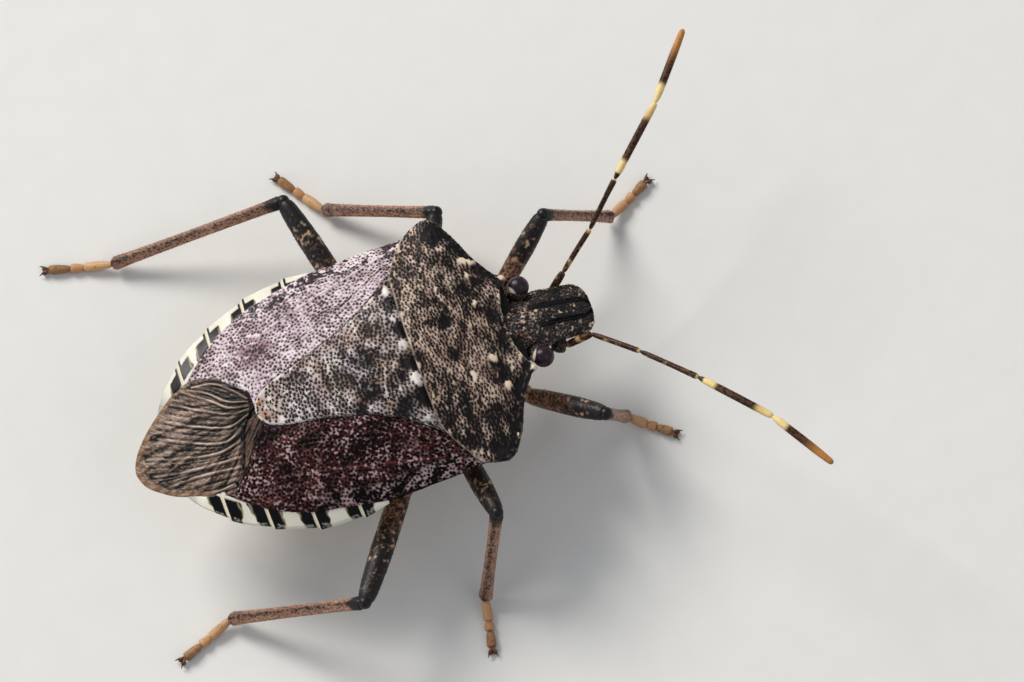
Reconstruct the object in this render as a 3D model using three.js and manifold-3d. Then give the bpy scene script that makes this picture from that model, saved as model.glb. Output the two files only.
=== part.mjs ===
// Brown marmorated shield bug at life size, standing with its feelers spread.
//
// Sizes are in millimetres. The trunk frame has +X to the head, +Y to the bug's left and +Z up.
// The trunk is tilted a little, head up, and lifted onto the legs. Knees, ankles and toes are
// given on the floor frame, which has the same directions before the tilt and its floor at 0.

import * as THREE from 'three';
import { ParametricGeometry } from 'three/addons/geometries/ParametricGeometry.js';
import { mergeVertices } from 'three/addons/utils/BufferGeometryUtils.js';
import Module from 'manifold-3d';

const wasm = await Module();
wasm.setup();

// Gaps, the stance and the thickness of the plates of the back

const GAP = 0.2;
const EYE_GAP = 0.1;
const COVER_THICKNESS = 0.55;
const TRUNK_LIFT = 0.996;
const TRUNK_PITCH = Math.atan(0.049);

// Places along the trunk

const HEAD_TIP = 5.4;
const HEAD_REAR = 2.3;
const THORAX_FRONT = 2.5;
const THORAX_REAR = -2.85;
const PRONOTUM_REAR = -0.45;
const SCUTELLUM_TIP = -5.95;
const ABDOMEN_TIP = -9.35;
const MEMBRANE_TIP = -10.45;

// A value along the trunk, smooth through stations of [x, value]
function along(stations) {
  const sorted = [...stations].sort((a, b) => a[0] - b[0]);
  const places = sorted.map((station) => station[0]);
  const values = sorted.map((station) => station[1]);
  const curve = new THREE.CubicInterpolant(places, values, 1);
  return (x) => curve.evaluate(x)[0];
}

// The back: height on the middle line, height at the side edge, and the half width of its arch

const crest = along([[3.2, 3.3], [2.6, 3.45], [1.5, 4.05], [0.4, 4.5], [-0.5, 4.7], [-2, 4.72], [-4, 4.52],
  [-5.9, 4.22], [-7.5, 3.85], [-9, 3.42], [-10.5, 3.05]]);
const brim = along([[3.2, 3.15], [2.2, 3.3], [1.27, 3.52], [0.4, 3.45], [-2, 3.32], [-5, 3.27], [-8, 3.2],
  [-9.4, 3.05], [-10.5, 2.95]]);
const arch = along([[3.2, 1.8], [2.1, 3.3], [1.25, 4.4], [0.4, 4.15], [-2, 4.2], [-4, 4.28], [-6, 3.95],
  [-8, 3.5], [-10.5, 3.1]]);
const BACK_ROUNDNESS = 2.2;

function back(x, y) {
  const share = Math.min(1, Math.abs(y) / arch(x));
  return brim(x) + (crest(x) - brim(x)) * (1 - share ** BACK_ROUNDNESS);
}

// The belly: height on the middle line, and its rise to a rim at the side

const keel = along([[2.6, 1.9], [1.6, 1.3], [0.5, 1], [-1, 0.88], [-2.85, 0.74], [-4.5, 0.64], [-6.5, 0.98],
  [-8, 1.5], [-9.4, 2]]);
const thoraxRim = along([[2.5, 2.1], [1.3, 2.4], [-2.85, 2.45]]);
const abdomenRim = along([[-3, 2.95], [-7, 2.9], [-8.5, 2.62], [-9.35, 2.3]]);
const BELLY_ROUNDNESS = 1.7;

function belly(x, share, rim) {
  return rim(x) - (rim(x) - keel(x)) * (1 - Math.abs(share) ** BELLY_ROUNDNESS);
}

// Closed solids from three.js geometry

function signedVolume(positions, corners) {
  const [a, b, c] = [new THREE.Vector3(), new THREE.Vector3(), new THREE.Vector3()];
  let sum = 0;
  for (let i = 0; i < corners.length; i += 3) {
    a.fromArray(positions, corners[i] * 3);
    b.fromArray(positions, corners[i + 1] * 3);
    c.fromArray(positions, corners[i + 2] * 3);
    sum += a.dot(b.cross(c)) / 6;
  }
  return sum;
}

function solid(geometry) {
  geometry.deleteAttribute('normal');
  geometry.deleteAttribute('uv');
  const merged = mergeVertices(geometry);
  const positions = merged.attributes.position.array;
  const index = merged.index.array;
  const corners = [];
  for (let i = 0; i < index.length; i += 3) {
    const [a, b, c] = index.slice(i, i + 3);
    if (a !== b && b !== c && c !== a) corners.push(a, b, c);
  }
  if (signedVolume(positions, corners) < 0) corners.reverse();
  const mesh = new wasm.Mesh({
    numProp: 3,
    vertProperties: new Float32Array(positions),
    triVerts: new Uint32Array(corners),
  });
  return new wasm.Manifold(mesh);
}

function joined(bodies) {
  return bodies.reduce((all, body) => all.add(body));
}

function largest(body) {
  return body.decompose().reduce((best, piece) => (piece.volume() > best.volume() ? piece : best));
}

function point(x, y, z) {
  return new THREE.Vector3(x, y, z);
}

// A point from three numbers, its Y turned to the right side of the bug when side is -1
function placed([x, y, z], side = 1) {
  return point(x, y * side, z);
}

function evenly(from, to, steps) {
  return Array.from({ length: steps + 1 }, (_, i) => THREE.MathUtils.lerp(from, to, i / steps));
}

// Steps that crowd towards the end, for a rounded tip
function roundedTo(from, to, steps) {
  return evenly(0, Math.PI / 2, steps).map((angle) => THREE.MathUtils.lerp(from, to, Math.sin(angle)));
}

// A solid through rings of points, each end closed by a fan to the middle of its ring
function loft(rings) {
  const middle = (ring) => ring
    .reduce((sum, corner) => sum.add(corner), new THREE.Vector3())
    .divideScalar(ring.length);
  const closed = (ring) => ring.map(() => middle(ring));
  const rows = [closed(rings[0]), ...rings, closed(rings[rings.length - 1])];
  const count = rings[0].length;
  const place = (u, v, target) => {
    const row = rows[Math.round(u * (rows.length - 1))];
    target.copy(row[Math.round(v * count) % count]);
  };
  return solid(new ParametricGeometry(place, rows.length - 1, count));
}

// A slab whose rows lie across the trunk at the stations, between two edges and two surfaces
function slab({ stations, halfWidth, top, bottom, columns }) {
  const shares = evenly(-1, 1, columns);
  return loft(stations.map((x) => {
    const upper = shares.map((share) => point(x, share * halfWidth(x), top(x, share * halfWidth(x))));
    const lower = shares.map((share) => point(x, share * halfWidth(x), bottom(x, share * halfWidth(x))));
    return [...upper, ...lower.reverse()];
  }));
}

// An upright column over a plan outline of [x, y] corners
function column(corners) {
  const HEIGHT = 14;
  const shape = new THREE.Shape(corners.map(([x, y]) => new THREE.Vector2(x, y)));
  const geometry = new THREE.ExtrudeGeometry(shape, { depth: HEIGHT, bevelEnabled: false });
  geometry.translate(0, 0, -HEIGHT / 2);
  return solid(geometry);
}

// A column grown to all sides of the plan
function widened(body, margin) {
  const DIRECTIONS = 6;
  return joined(evenly(0, 2 * Math.PI, DIRECTIONS).slice(1)
    .map((angle) => body.translate([margin * Math.cos(angle), margin * Math.sin(angle), 0])));
}

// A round limb through places, each of them { at, radius }; its rings stand across the way on
function limb(places, sides = 8) {
  const way = (i) => places[Math.min(i + 1, places.length - 1)].at.clone()
    .sub(places[Math.max(i - 1, 0)].at).normalize();
  let heading = way(0);
  let across = point(0, 0, 1).cross(heading).normalize();
  return loft(places.map(({ at, radius }, i) => {
    across = across.clone().applyQuaternion(new THREE.Quaternion().setFromUnitVectors(heading, way(i)));
    heading = way(i);
    return evenly(0, 2 * Math.PI, sides).slice(1)
      .map((angle) => at.clone().addScaledVector(across.clone().applyAxisAngle(heading, angle), radius));
  }));
}

// The places of a limb along one length, from stations of [share, radius]
function lengthOf(from, to, stations) {
  return stations.map(([share, radius]) => ({ at: from.clone().lerp(to, share), radius }));
}

function ball(centre, radii, segments = 12) {
  const geometry = new THREE.SphereGeometry(1, segments, Math.round(segments * 0.7));
  geometry.scale(radii.x, radii.y, radii.z);
  geometry.translate(centre.x, centre.y, centre.z);
  return solid(geometry);
}

function roundBall(centre, radius, segments) {
  return ball(centre, point(radius, radius, radius), segments);
}

// Plan outlines of the plates of the back, each side from the front to the rear

const PRONOTUM_HALF = [[2.62, 0], [2.68, 0.6], [2.82, 1.15], [3.04, 1.5], [3.12, 1.62], [2.86, 1.82],
  [2.6, 2.18], [2.3, 2.72], [2.08, 3.26], [1.86, 3.72], [1.5, 4.22], [1.25, 4.36], [0.95, 4.3],
  [0.42, 4.05], [0.1, 3.62], [-0.25, 3.02], [-0.42, 2.6], [PRONOTUM_REAR, 1.2], [PRONOTUM_REAR, 0]];
const SCUTELLUM_HALF = [[-0.2, 0], [-0.2, 2.9], [-0.5, 2.72], [-1.3, 2.13], [-2.35, 1.57], [-3.4, 1.22],
  [-4.3, 0.98], [-5.1, 0.78], [-5.62, 0.56], [-5.87, 0.28], [SCUTELLUM_TIP, 0]];
const COSTAL_EDGE = [[0.6, 4.06], [-0.5, 4.11], [-1.5, 4.12], [-2.75, 4.12], [-3.9, 3.92], [-5.07, 3.68],
  [-6.32, 3.2], [-7.2, 2.58], [-7.82, 2.02]];
const MEMBRANE_MARGIN = [[-8.4, 1.84], [-8.95, 1.52], [-9.5, 1.14], [-9.95, 0.74], [-10.3, 0.3],
  [MEMBRANE_TIP, -0.15], [-10.3, -0.62], [-9.85, -1.08], [-9.4, -1.4], [-8.83, -1.66], [-8.12, -1.9]];
const MEMBRANE_OVERLAP = [[-7.4, -1.86], [-6.97, -1.5], [-6.72, -0.9], [-6.45, -0.3], [-6.15, 0.02]];

function mirrored(half) {
  const other = half.map(([x, y]) => [x, -y]).reverse();
  return [...half, ...other.slice(1, -1)];
}

const pronotumColumn = column(mirrored(PRONOTUM_HALF));
const scutellumColumn = column(mirrored(SCUTELLUM_HALF));
const leftWingColumn = column([
  ...COSTAL_EDGE, ...MEMBRANE_MARGIN, ...MEMBRANE_OVERLAP, [-5.5, 0.05], [0.6, 0.05],
]);
const rightWingColumn = column([
  ...COSTAL_EDGE.map(([x, y]) => [x, -y]), [-8.3, -1.86], [-6, -0.02], [0.6, -0.02],
]);
const pronotumCut = widened(pronotumColumn, GAP);
const scutellumCut = widened(scutellumColumn, GAP);
const wingsCut = widened(leftWingColumn.add(rightWingColumn), GAP);

// One slab over the whole back, from which its plates are parted

const COVER_FRONT = 3.2;
const COVER_REAR = MEMBRANE_TIP - 0.2;
const COVER_STATIONS = evenly(COVER_REAR, COVER_FRONT, 24);
const COVER_COLUMNS = 18;
const COVER_REACH = 4.6;

function cover(raised) {
  return slab({
    stations: COVER_STATIONS,
    halfWidth: () => COVER_REACH,
    top: (x, y) => back(x, y) + raised,
    bottom: (x, y) => back(x, y) - COVER_THICKNESS,
    columns: COVER_COLUMNS,
  });
}

// A low ridge on the back along a plan curve, thinner towards its end
function ridge(curve) {
  const STEPS = 8;
  const HALF_WIDTH = 0.09;
  const HEIGHT = 0.12;
  const FOOT = 0.02;
  const ROOT = 0.3;
  const THINNING = 0.55;
  return loft(evenly(0, 1, STEPS).map((share) => {
    const centre = curve.getPoint(share);
    const side = curve.getTangent(share).rotateAround(new THREE.Vector2(), Math.PI / 2);
    const corner = (across, height) => {
      const place = centre.clone().addScaledVector(side, across);
      return point(place.x, place.y, back(place.x, place.y) + height);
    };
    const top = HEIGHT * (1 - THINNING * share);
    return [corner(HALF_WIDTH, -FOOT), corner(0, top), corner(-HALF_WIDTH, -FOOT), corner(0, -ROOT)];
  }));
}

function planCurve(points, side = 1) {
  return new THREE.SplineCurve(points.map(([x, y]) => new THREE.Vector2(x, y * side)));
}

// Veins of the membrane fan from its base to its margin and sag between the two
function membraneVeins() {
  const VEINS = 8;
  const bases = planCurve([[-6.3, 0.32], [-6.5, 0.02], [-6.85, -0.45], [-7.05, -1], [-7.22, -1.4],
    [-7.62, -1.68]]);
  const ends = planCurve([[-8, 1.7], [-8.8, 1.32], [-9.5, 0.76], [-10, 0.05], [-9.7, -0.7], [-8.8, -1.45]]);
  const sag = along([[0, -0.35], [0.2, 0.1], [0.45, 0.38], [0.6, 0.36], [0.8, 0.15], [1, -0.06]]);
  return evenly(0, 1, VEINS - 1).map((share) => {
    const base = bases.getPoint(share);
    const end = ends.getPoint(share);
    const bend = base.clone().lerp(end, 0.5);
    bend.y -= 2 * sag(share);
    return ridge(new THREE.QuadraticBezierCurve(base, bend, end));
  });
}

// The main vein of the leathery fore part, and the edge of the narrow strip beside the scutellum
function leatheryVeins(side) {
  return [
    ridge(planCurve([[-0.4, 3.62], [-2.2, 3.2], [-4.2, 2.72], [-6.1, 2.2]], side)),
    ridge(planCurve([[-0.35, 3.25], [-2, 2.4], [-3.6, 1.85], [-5, 1.5]], side)),
  ];
}

// Eyes, and the sockets that they sit in

const EYE = { centre: [3.41, 1.26, 2.85], radius: 0.36, segments: 12 };

function eyeSocket(side) {
  return roundBall(placed(EYE.centre, side), EYE.radius + EYE_GAP, EYE.segments);
}

const eyeSockets = joined([eyeSocket(1), eyeSocket(-1)]);

// Plates of the back

const PRONOTUM_RAISED = 0.05;
const SCUTELLUM_RAISED = 0.08;

function pronotum() {
  return largest(cover(PRONOTUM_RAISED).intersect(pronotumColumn).subtract(eyeSockets));
}

function scutellum() {
  return largest(cover(SCUTELLUM_RAISED).intersect(scutellumColumn).subtract(pronotumCut));
}

function leftWing() {
  const plate = cover(0).intersect(leftWingColumn).subtract(pronotumCut).subtract(scutellumCut);
  return largest(joined([plate, ...membraneVeins(), ...leatheryVeins(1)]));
}

function rightWing() {
  const plate = cover(0).intersect(rightWingColumn).subtract(pronotumCut).subtract(scutellumCut)
    .subtract(widened(leftWingColumn, GAP));
  return largest(joined([plate, ...leatheryVeins(-1)]));
}

// Head: slopes down to a rounded tip, with two furrows beside its middle lobe

const headHalfWidth = along([[HEAD_REAR, 1], [3.4, 0.98], [3.75, 0.93], [4.2, 0.86], [4.8, 0.84],
  [5.1, 0.77], [5.28, 0.6], [5.37, 0.38], [HEAD_TIP, 0.12]]);
const headCrest = along([[HEAD_REAR, 3.4], [2.8, 3.32], [3.4, 3.14], [4.2, 2.72], [5, 2.2],
  [HEAD_TIP, 1.88]]);
const headEdge = along([[HEAD_REAR, 2.8], [3.4, 2.62], [4.2, 2.3], [5, 1.95], [HEAD_TIP, 1.8]]);
const headKeel = along([[HEAD_REAR, 1.75], [3.2, 1.5], [4.2, 1.4], [4.9, 1.42], [HEAD_TIP, 1.62]]);
const HEAD_EDGE_THICKNESS = 0.2;
const HEAD_ROUNDNESS = 2.4;
const HEAD_TAPER = 4.6;
const HEAD_COLUMNS = 12;
const FURROW = { share: 1 / 3, halfShare: 1 / 6, depth: 0.1, front: 3.7 };
const OCELLUS = { centre: [3, 0.46, 3.18], radius: 0.13, segments: 7 };
const FEELER_ROOT = [3.75, 0.7, 1.95];
const FEELER_BASE = [4.2, 0.9, 1.88];
const FEELER_SOCKET_SHAPE = [[0, 0.3], [0.8, 0.3], [1, 0.24]];

function headTop(x, y) {
  const share = Math.abs(y) / headHalfWidth(x);
  const dome = headEdge(x) + (headCrest(x) - headEdge(x)) * (1 - share ** HEAD_ROUNDNESS);
  const nearFurrow = Math.max(0, 1 - Math.abs(share - FURROW.share) / FURROW.halfShare);
  return dome - (x > FURROW.front ? FURROW.depth * nearFurrow : 0);
}

function headBottom(x, y) {
  const share = Math.abs(y) / headHalfWidth(x);
  const rim = headEdge(x) - HEAD_EDGE_THICKNESS;
  return rim - (rim - headKeel(x)) * (1 - share ** 2);
}

function head() {
  const skull = slab({
    stations: [...evenly(HEAD_REAR, HEAD_TAPER, 5), ...roundedTo(HEAD_TAPER, HEAD_TIP, 5).slice(1)],
    halfWidth: headHalfWidth,
    top: headTop,
    bottom: headBottom,
    columns: HEAD_COLUMNS,
  });
  const bumps = [1, -1].flatMap((side) => [
    roundBall(placed(OCELLUS.centre, side), OCELLUS.radius, OCELLUS.segments),
    limb(lengthOf(placed(FEELER_ROOT, side), placed(FEELER_BASE, side), FEELER_SOCKET_SHAPE)),
  ]);
  const clearance = joined([feeler(FEELERS.left, GAP), feeler(FEELERS.right, GAP)]);
  return largest(joined([skull, ...bumps]).subtract(pronotumCut).subtract(eyeSockets).subtract(clearance));
}

// Feelers of five lengths: joints from the base to the tip

const FEELERS = {
  left: [[4.95, 1.35, 2.33], [6.28, 2.23, 2.9], [7.63, 3.38, 3.4], [9.75, 5.21, 3.8],
    [11.45, 7.23, 3.8]],
  right: [[5.12, -0.98, 2.35], [6.44, -2.29, 2.9], [7.91, -3.94, 3.4], [9.71, -6.15, 3.8],
    [10.97, -8.3, 3.8]],
};
const FEELER_RADIUS = 0.25;
const FEELER_WAIST = 0.2;
const FEELER_TIP_RADIUS = 0.1;
const FEELER_SIDES = 7;

function feeler(joints, grown = 0) {
  const side = Math.sign(joints[0][1]);
  const base = placed(FEELER_BASE, side);
  const places = joints.map((joint) => placed(joint));
  const start = base.clone().lerp(places[0], GAP / base.distanceTo(places[0]));
  const from = [start, ...places];
  const shape = [[0.15, FEELER_RADIUS], [0.8, FEELER_RADIUS], [1, FEELER_WAIST]];
  const way = places.flatMap((to, i) => lengthOf(from[i], to, shape));
  way[way.length - 1].radius = FEELER_TIP_RADIUS;
  way.unshift({ at: start, radius: FEELER_WAIST });
  return limb(way.map(({ at, radius }) => ({ at, radius: radius + grown })), FEELER_SIDES);
}

// Beak: folded back under the head and between the hips

const BEAK_JOINTS = [[4.85, 0, 0.97], [3.9, 0, 0.97], [2.3, 0, 1.1], [0.3, 0, 0.53], [-1.7, 0, 0.42]];
const BEAK_RADIUS = 0.23;
const BEAK_WAIST = 0.19;
const BEAK_TIP_RADIUS = 0.1;
const BEAK_SIDES = 7;

function beak() {
  const places = BEAK_JOINTS.map((joint) => placed(joint));
  const shape = [[0.2, BEAK_RADIUS], [0.8, BEAK_RADIUS], [1, BEAK_WAIST]];
  const way = places.slice(1).flatMap((to, i) => lengthOf(places[i], to, shape));
  way[way.length - 1].radius = BEAK_TIP_RADIUS;
  way.unshift({ at: places[0], radius: BEAK_WAIST });
  return limb(way, BEAK_SIDES);
}

// Legs: hips and the ends of the trochanters on the trunk frame, the rest on the floor frame

const LEG_ROOTS = {
  front: { hip: [1.6, 0.95, 1.25], trochanter: [2.3, 1.65, 0.8], thighRadius: 0.34 },
  middle: { hip: [-0.45, 1.25, 1], trochanter: [-0.35, 2.1, 0.7], thighRadius: 0.35 },
  hind: { hip: [-1.8, 1.35, 0.95], trochanter: [-1.8, 2.15, 0.7], thighRadius: 0.385 },
};
const LEGS = [
  { name: 'leg_front_left', root: 'front', side: 1, knee: [4.86, 3.5, 3.42], ankle: [7.02, 3.62],
    toe: [8.5, 4.4] },
  { name: 'leg_middle_left', root: 'middle', side: 1, knee: [1.56, 5.27, 2.14], ankle: [-1.98, 7.32],
    toe: [-3.07, 8.94] },
  { name: 'leg_hind_left', root: 'hind', side: 1, knee: [-3.1, 7.34, 2.53], ankle: [-9.31, 8.07],
    toe: [-11.45, 8.72] },
  { name: 'leg_front_right', root: 'front', side: -1, knee: [4.54, -3.74, 3.79], ankle: [5.19, -3.1],
    toe: [6.44, -4.1] },
  { name: 'leg_middle_right', root: 'middle', side: -1, knee: [0.11, -5.59, 3.68], ankle: [-1.24, -7.3],
    toe: [-1.58, -8.9] },
  { name: 'leg_hind_right', root: 'hind', side: -1, knee: [-4.89, -6.88, 3.56], ankle: [-9.39, -5],
    toe: [-11.25, -5.68] },
];
const HIP_RADII = point(0.45, 0.42, 0.5);
const HIP_SEGMENTS = 10;
const TROCHANTER_RADIUS = 0.34;
const KNEE_RADIUS = 0.29;
const KNEE_SEGMENTS = 8;
const SHIN_RADIUS = 0.25;
const FOOT_RADIUS = 0.24;
const ANKLE_HEIGHT = 0.36;
const FOOT_HEIGHT = 0.22;
const FOOT_JOINTS = [0, 0.45, 0.66, 1];
const THIGH_SHAPE = [[0, 0.7], [0.15, 0.85], [0.6, 1], [0.9, 0.85], [1, 0.6]];
const SHIN_SHAPE = [[0.02, 0.9], [0.1, 1.08], [0.25, 1], [0.95, 1]];
const FOOT_SHAPE = [[0.25, 1], [0.8, 1], [1, 0.75]];
const CLAW = { length: 0.42, radius: 0.1, tipRadius: 0.03, spread: 0.45, height: 0.12, sides: 5 };

const trunkPlace = new THREE.Matrix4().makeRotationY(-TRUNK_PITCH).setPosition(0, 0, TRUNK_LIFT);
const trunkPlaceBack = trunkPlace.clone().invert();

function onFloorFrame(triple, side) {
  return placed(triple, side).applyMatrix4(trunkPlace);
}

function scaled(shape, radius) {
  return shape.map(([share, part]) => [share, part * radius]);
}

// Hip, trochanter and thigh, which stay clear of the trunk when it is cut by them grown
function upperLeg({ root, side, knee }, grown = 0) {
  const { hip, trochanter, thighRadius } = LEG_ROOTS[root];
  const hipPlace = onFloorFrame(hip, side);
  const bend = onFloorFrame(trochanter, side);
  const thigh = lengthOf(bend, placed(knee), scaled(THIGH_SHAPE, thighRadius));
  const way = [{ at: hipPlace, radius: TROCHANTER_RADIUS }, ...thigh];
  return joined([
    ball(hipPlace, HIP_RADII.clone().addScalar(grown), HIP_SEGMENTS),
    limb(way.map(({ at, radius }) => ({ at, radius: radius + grown }))),
  ]);
}

function claws(toe, heading) {
  return [1, -1].map((side) => {
    const direction = heading.clone().applyAxisAngle(point(0, 0, 1), side * CLAW.spread);
    const tip = toe.clone().addScaledVector(direction, CLAW.length).setZ(CLAW.height);
    return limb(lengthOf(toe, tip, [[0, CLAW.radius], [1, CLAW.tipRadius]]), CLAW.sides);
  });
}

function lowerLeg({ knee, ankle, toe }) {
  const kneePlace = placed(knee);
  const anklePlace = placed([...ankle, ANKLE_HEIGHT]);
  const toePlace = placed([...toe, FOOT_HEIGHT]);
  const joints = FOOT_JOINTS.map((share) => anklePlace.clone().lerp(toePlace, share).setZ(FOOT_HEIGHT));
  joints[0].copy(anklePlace);
  const shin = lengthOf(kneePlace, anklePlace, scaled(SHIN_SHAPE, SHIN_RADIUS));
  const foot = joints.slice(1).flatMap((to, i) => lengthOf(joints[i], to, scaled(FOOT_SHAPE, FOOT_RADIUS)));
  const heading = toePlace.clone().sub(anklePlace).setZ(0).normalize();
  const knob = roundBall(kneePlace, KNEE_RADIUS, KNEE_SEGMENTS);
  return [knob, limb([...shin, ...foot]), ...claws(toePlace, heading)];
}

// All under the floor, to leave small flats under the feet
function underFloor() {
  const SIZE = 60;
  const block = new THREE.BoxGeometry(SIZE, SIZE, SIZE);
  block.translate(0, 0, -SIZE / 2);
  return solid(block);
}

const floorCut = underFloor();

function leg(form) {
  return largest(joined([upperLeg(form), ...lowerLeg(form)]).subtract(floorCut));
}

// The trunk's lower pieces

const legRoom = joined(LEGS.map((form) => upperLeg(form, GAP))).transform(trunkPlaceBack.elements);

const thoraxHalfWidth = along([[THORAX_FRONT, 1.45], [2.1, 2.5], [1.3, 3.7], [0.4, 3.85],
  [THORAX_REAR, 4.05]]);
const abdomenHalfWidth = along([[-2.8, 4.14], [-4, 4.24], [-5.15, 4.1], [-6.4, 3.66], [-7.45, 3.13],
  [-8.4, 2.36], [-8.87, 1.85], [-9.13, 1.4], [-9.28, 0.85], [ABDOMEN_TIP, 0.3]]);
const THORAX_ROWS = 8;
const THORAX_COLUMNS = 12;
const ABDOMEN_COLUMNS = 10;
const ABOVE_ALL = 8;

function thorax() {
  const body = slab({
    stations: evenly(THORAX_REAR, THORAX_FRONT, THORAX_ROWS),
    halfWidth: thoraxHalfWidth,
    top: (x, y) => back(x, y) - COVER_THICKNESS - GAP,
    bottom: (x, y) => belly(x, y / thoraxHalfWidth(x), thoraxRim),
    columns: THORAX_COLUMNS,
  });
  return largest(body.subtract(legRoom).subtract(eyeSockets));
}

// Each segment of the abdomen ends in a small tooth at the side and a groove under the belly

const SEGMENT_SUTURES = [-3.82, -5.33, -6.73, -7.97];
const TOOTH = { size: 0.08, run: 1.1 };
const GROOVE = { depth: 0.07, run: 0.09 };
const SIDE_PLATE_SUNK = 0.06;

function tooth(x) {
  return SEGMENT_SUTURES.reduce((most, suture) => {
    const ahead = x - suture;
    return ahead >= 0 && ahead < TOOTH.run ? Math.max(most, TOOTH.size * (1 - ahead / TOOTH.run)) : most;
  }, 0);
}

function groove(x) {
  return SEGMENT_SUTURES.reduce((most, suture) => {
    return Math.max(most, GROOVE.depth * (1 - Math.abs(x - suture) / GROOVE.run));
  }, 0);
}

function abdomen() {
  const front = THORAX_REAR - GAP;
  const grooves = SEGMENT_SUTURES.flatMap((suture) => [suture + GROOVE.run, suture, suture - GROOVE.run]);
  const rest = [front, -4.6, -6.05, -7.35, -8.45, -8.85, -9.15, -9.3, ABDOMEN_TIP];
  const halfWidth = (x) => abdomenHalfWidth(x) + tooth(x);
  const body = slab({
    stations: [...grooves, ...rest].sort((a, b) => a - b),
    halfWidth,
    top: (x, y) => back(x, y) - SIDE_PLATE_SUNK,
    bottom: (x, y) => belly(x, y / halfWidth(x), abdomenRim) + groove(x),
    columns: ABDOMEN_COLUMNS,
  });
  const overCovers = slab({
    stations: COVER_STATIONS,
    halfWidth: () => COVER_REACH + GAP,
    top: () => ABOVE_ALL,
    bottom: (x, y) => back(x, y) - COVER_THICKNESS - GAP,
    columns: COVER_COLUMNS,
  });
  const underPlates = overCovers.intersect(wingsCut.add(scutellumCut));
  return largest(body.subtract(underPlates).subtract(legRoom));
}

// Assembly

const SHELL_ROUGHNESS = 0.5;
const WING_ROUGHNESS = 0.45;
const EYE_ROUGHNESS = 0.15;

function node(name, body, colour, roughness = SHELL_ROUGHNESS) {
  const { numProp, vertProperties, triVerts } = body.getMesh();
  const geometry = new THREE.BufferGeometry();
  geometry.setAttribute('position', new THREE.BufferAttribute(vertProperties, numProp));
  geometry.setIndex(new THREE.BufferAttribute(triVerts, 1));
  geometry.computeVertexNormals();
  const material = new THREE.MeshStandardMaterial({ color: colour, roughness, metalness: 0 });
  const mesh = new THREE.Mesh(geometry, material);
  mesh.name = name;
  return mesh;
}

function eye(name, side) {
  const mesh = node(name, roundBall(point(0, 0, 0), EYE.radius, EYE.segments), '#2a1c24', EYE_ROUGHNESS);
  mesh.position.copy(placed(EYE.centre, side));
  return mesh;
}

const trunk = new THREE.Group();
trunk.applyMatrix4(trunkPlace);
trunk.add(
  node('head', head(), '#2b2320'),
  eye('eye_left', 1),
  eye('eye_right', -1),
  node('beak', beak(), '#6b5136'),
  node('feeler_left', feeler(FEELERS.left), '#3a2a1c'),
  node('feeler_right', feeler(FEELERS.right), '#3a2a1c'),
  node('pronotum', pronotum(), '#6e5d54'),
  node('scutellum', scutellum(), '#75665c'),
  node('wing_left', leftWing(), '#8a6a6a', WING_ROUGHNESS),
  node('wing_right', rightWing(), '#5e3234', WING_ROUGHNESS),
  node('thorax', thorax(), '#8d7b66'),
  node('abdomen', abdomen(), '#b9ac90'),
);

const bug = new THREE.Group();
bug.add(trunk, ...LEGS.map((form) => node(form.name, leg(form), '#7a5f49')));

// The origin is on the floor, under the middle of the whole bug

const size = new THREE.Box3().setFromObject(bug, true);
const middle = size.getCenter(new THREE.Vector3());
bug.position.set(-middle.x, -middle.y, 0);

export default bug;
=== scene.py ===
"""A still, life-size shield bug on its six feet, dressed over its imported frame.

Sizes are in millimetres on the trunk's own frame (X towards the head, Y to the left, Z up) until
a stance sets them on the floor in metres.
"""

from __future__ import annotations

import logging
import math
from dataclasses import dataclass, field
from enum import Enum
from functools import reduce
from typing import Callable, Iterable, Sequence

import bpy
import numpy as np
from mathutils import Matrix, Vector
from mathutils.geometry import tessellate_polygon
from mathutils.kdtree import KDTree


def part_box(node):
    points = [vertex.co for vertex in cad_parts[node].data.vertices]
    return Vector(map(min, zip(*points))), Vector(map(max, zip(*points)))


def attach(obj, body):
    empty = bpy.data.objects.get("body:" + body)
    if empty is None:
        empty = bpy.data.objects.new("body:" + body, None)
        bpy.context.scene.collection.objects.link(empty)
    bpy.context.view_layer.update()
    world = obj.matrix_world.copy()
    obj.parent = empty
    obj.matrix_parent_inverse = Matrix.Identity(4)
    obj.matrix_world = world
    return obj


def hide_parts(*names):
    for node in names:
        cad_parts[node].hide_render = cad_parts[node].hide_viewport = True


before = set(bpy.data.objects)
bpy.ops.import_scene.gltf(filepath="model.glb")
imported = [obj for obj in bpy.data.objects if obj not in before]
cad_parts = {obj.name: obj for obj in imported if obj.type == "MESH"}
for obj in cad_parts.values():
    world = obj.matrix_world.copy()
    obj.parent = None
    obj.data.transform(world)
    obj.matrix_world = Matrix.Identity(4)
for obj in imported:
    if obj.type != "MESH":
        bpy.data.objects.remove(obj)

Array = np.ndarray
Colour = tuple[float, float, float]
Station = Sequence[float]
Profile = Callable[[Array], Array]
Tree = bpy.types.NodeTree
Socket = bpy.types.NodeSocket
Sockets = bpy.types.bpy_prop_collection

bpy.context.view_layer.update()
METRE = 0.001
UP = np.array([0.0, 0.0, 1.0])
RIM_SHADE = 1.5
log = logging.getLogger("shield_bug")


def srgb(red: int, green: int, blue: int) -> Colour:
    """A colour given in screen values from 0 to 255, as linear light."""
    def linear(value: int) -> float:
        share = value / 255
        return share / 12.92 if share <= 0.04045 else ((share + 0.055) / 1.055) ** 2.4

    return (linear(red), linear(green), linear(blue))


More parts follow.
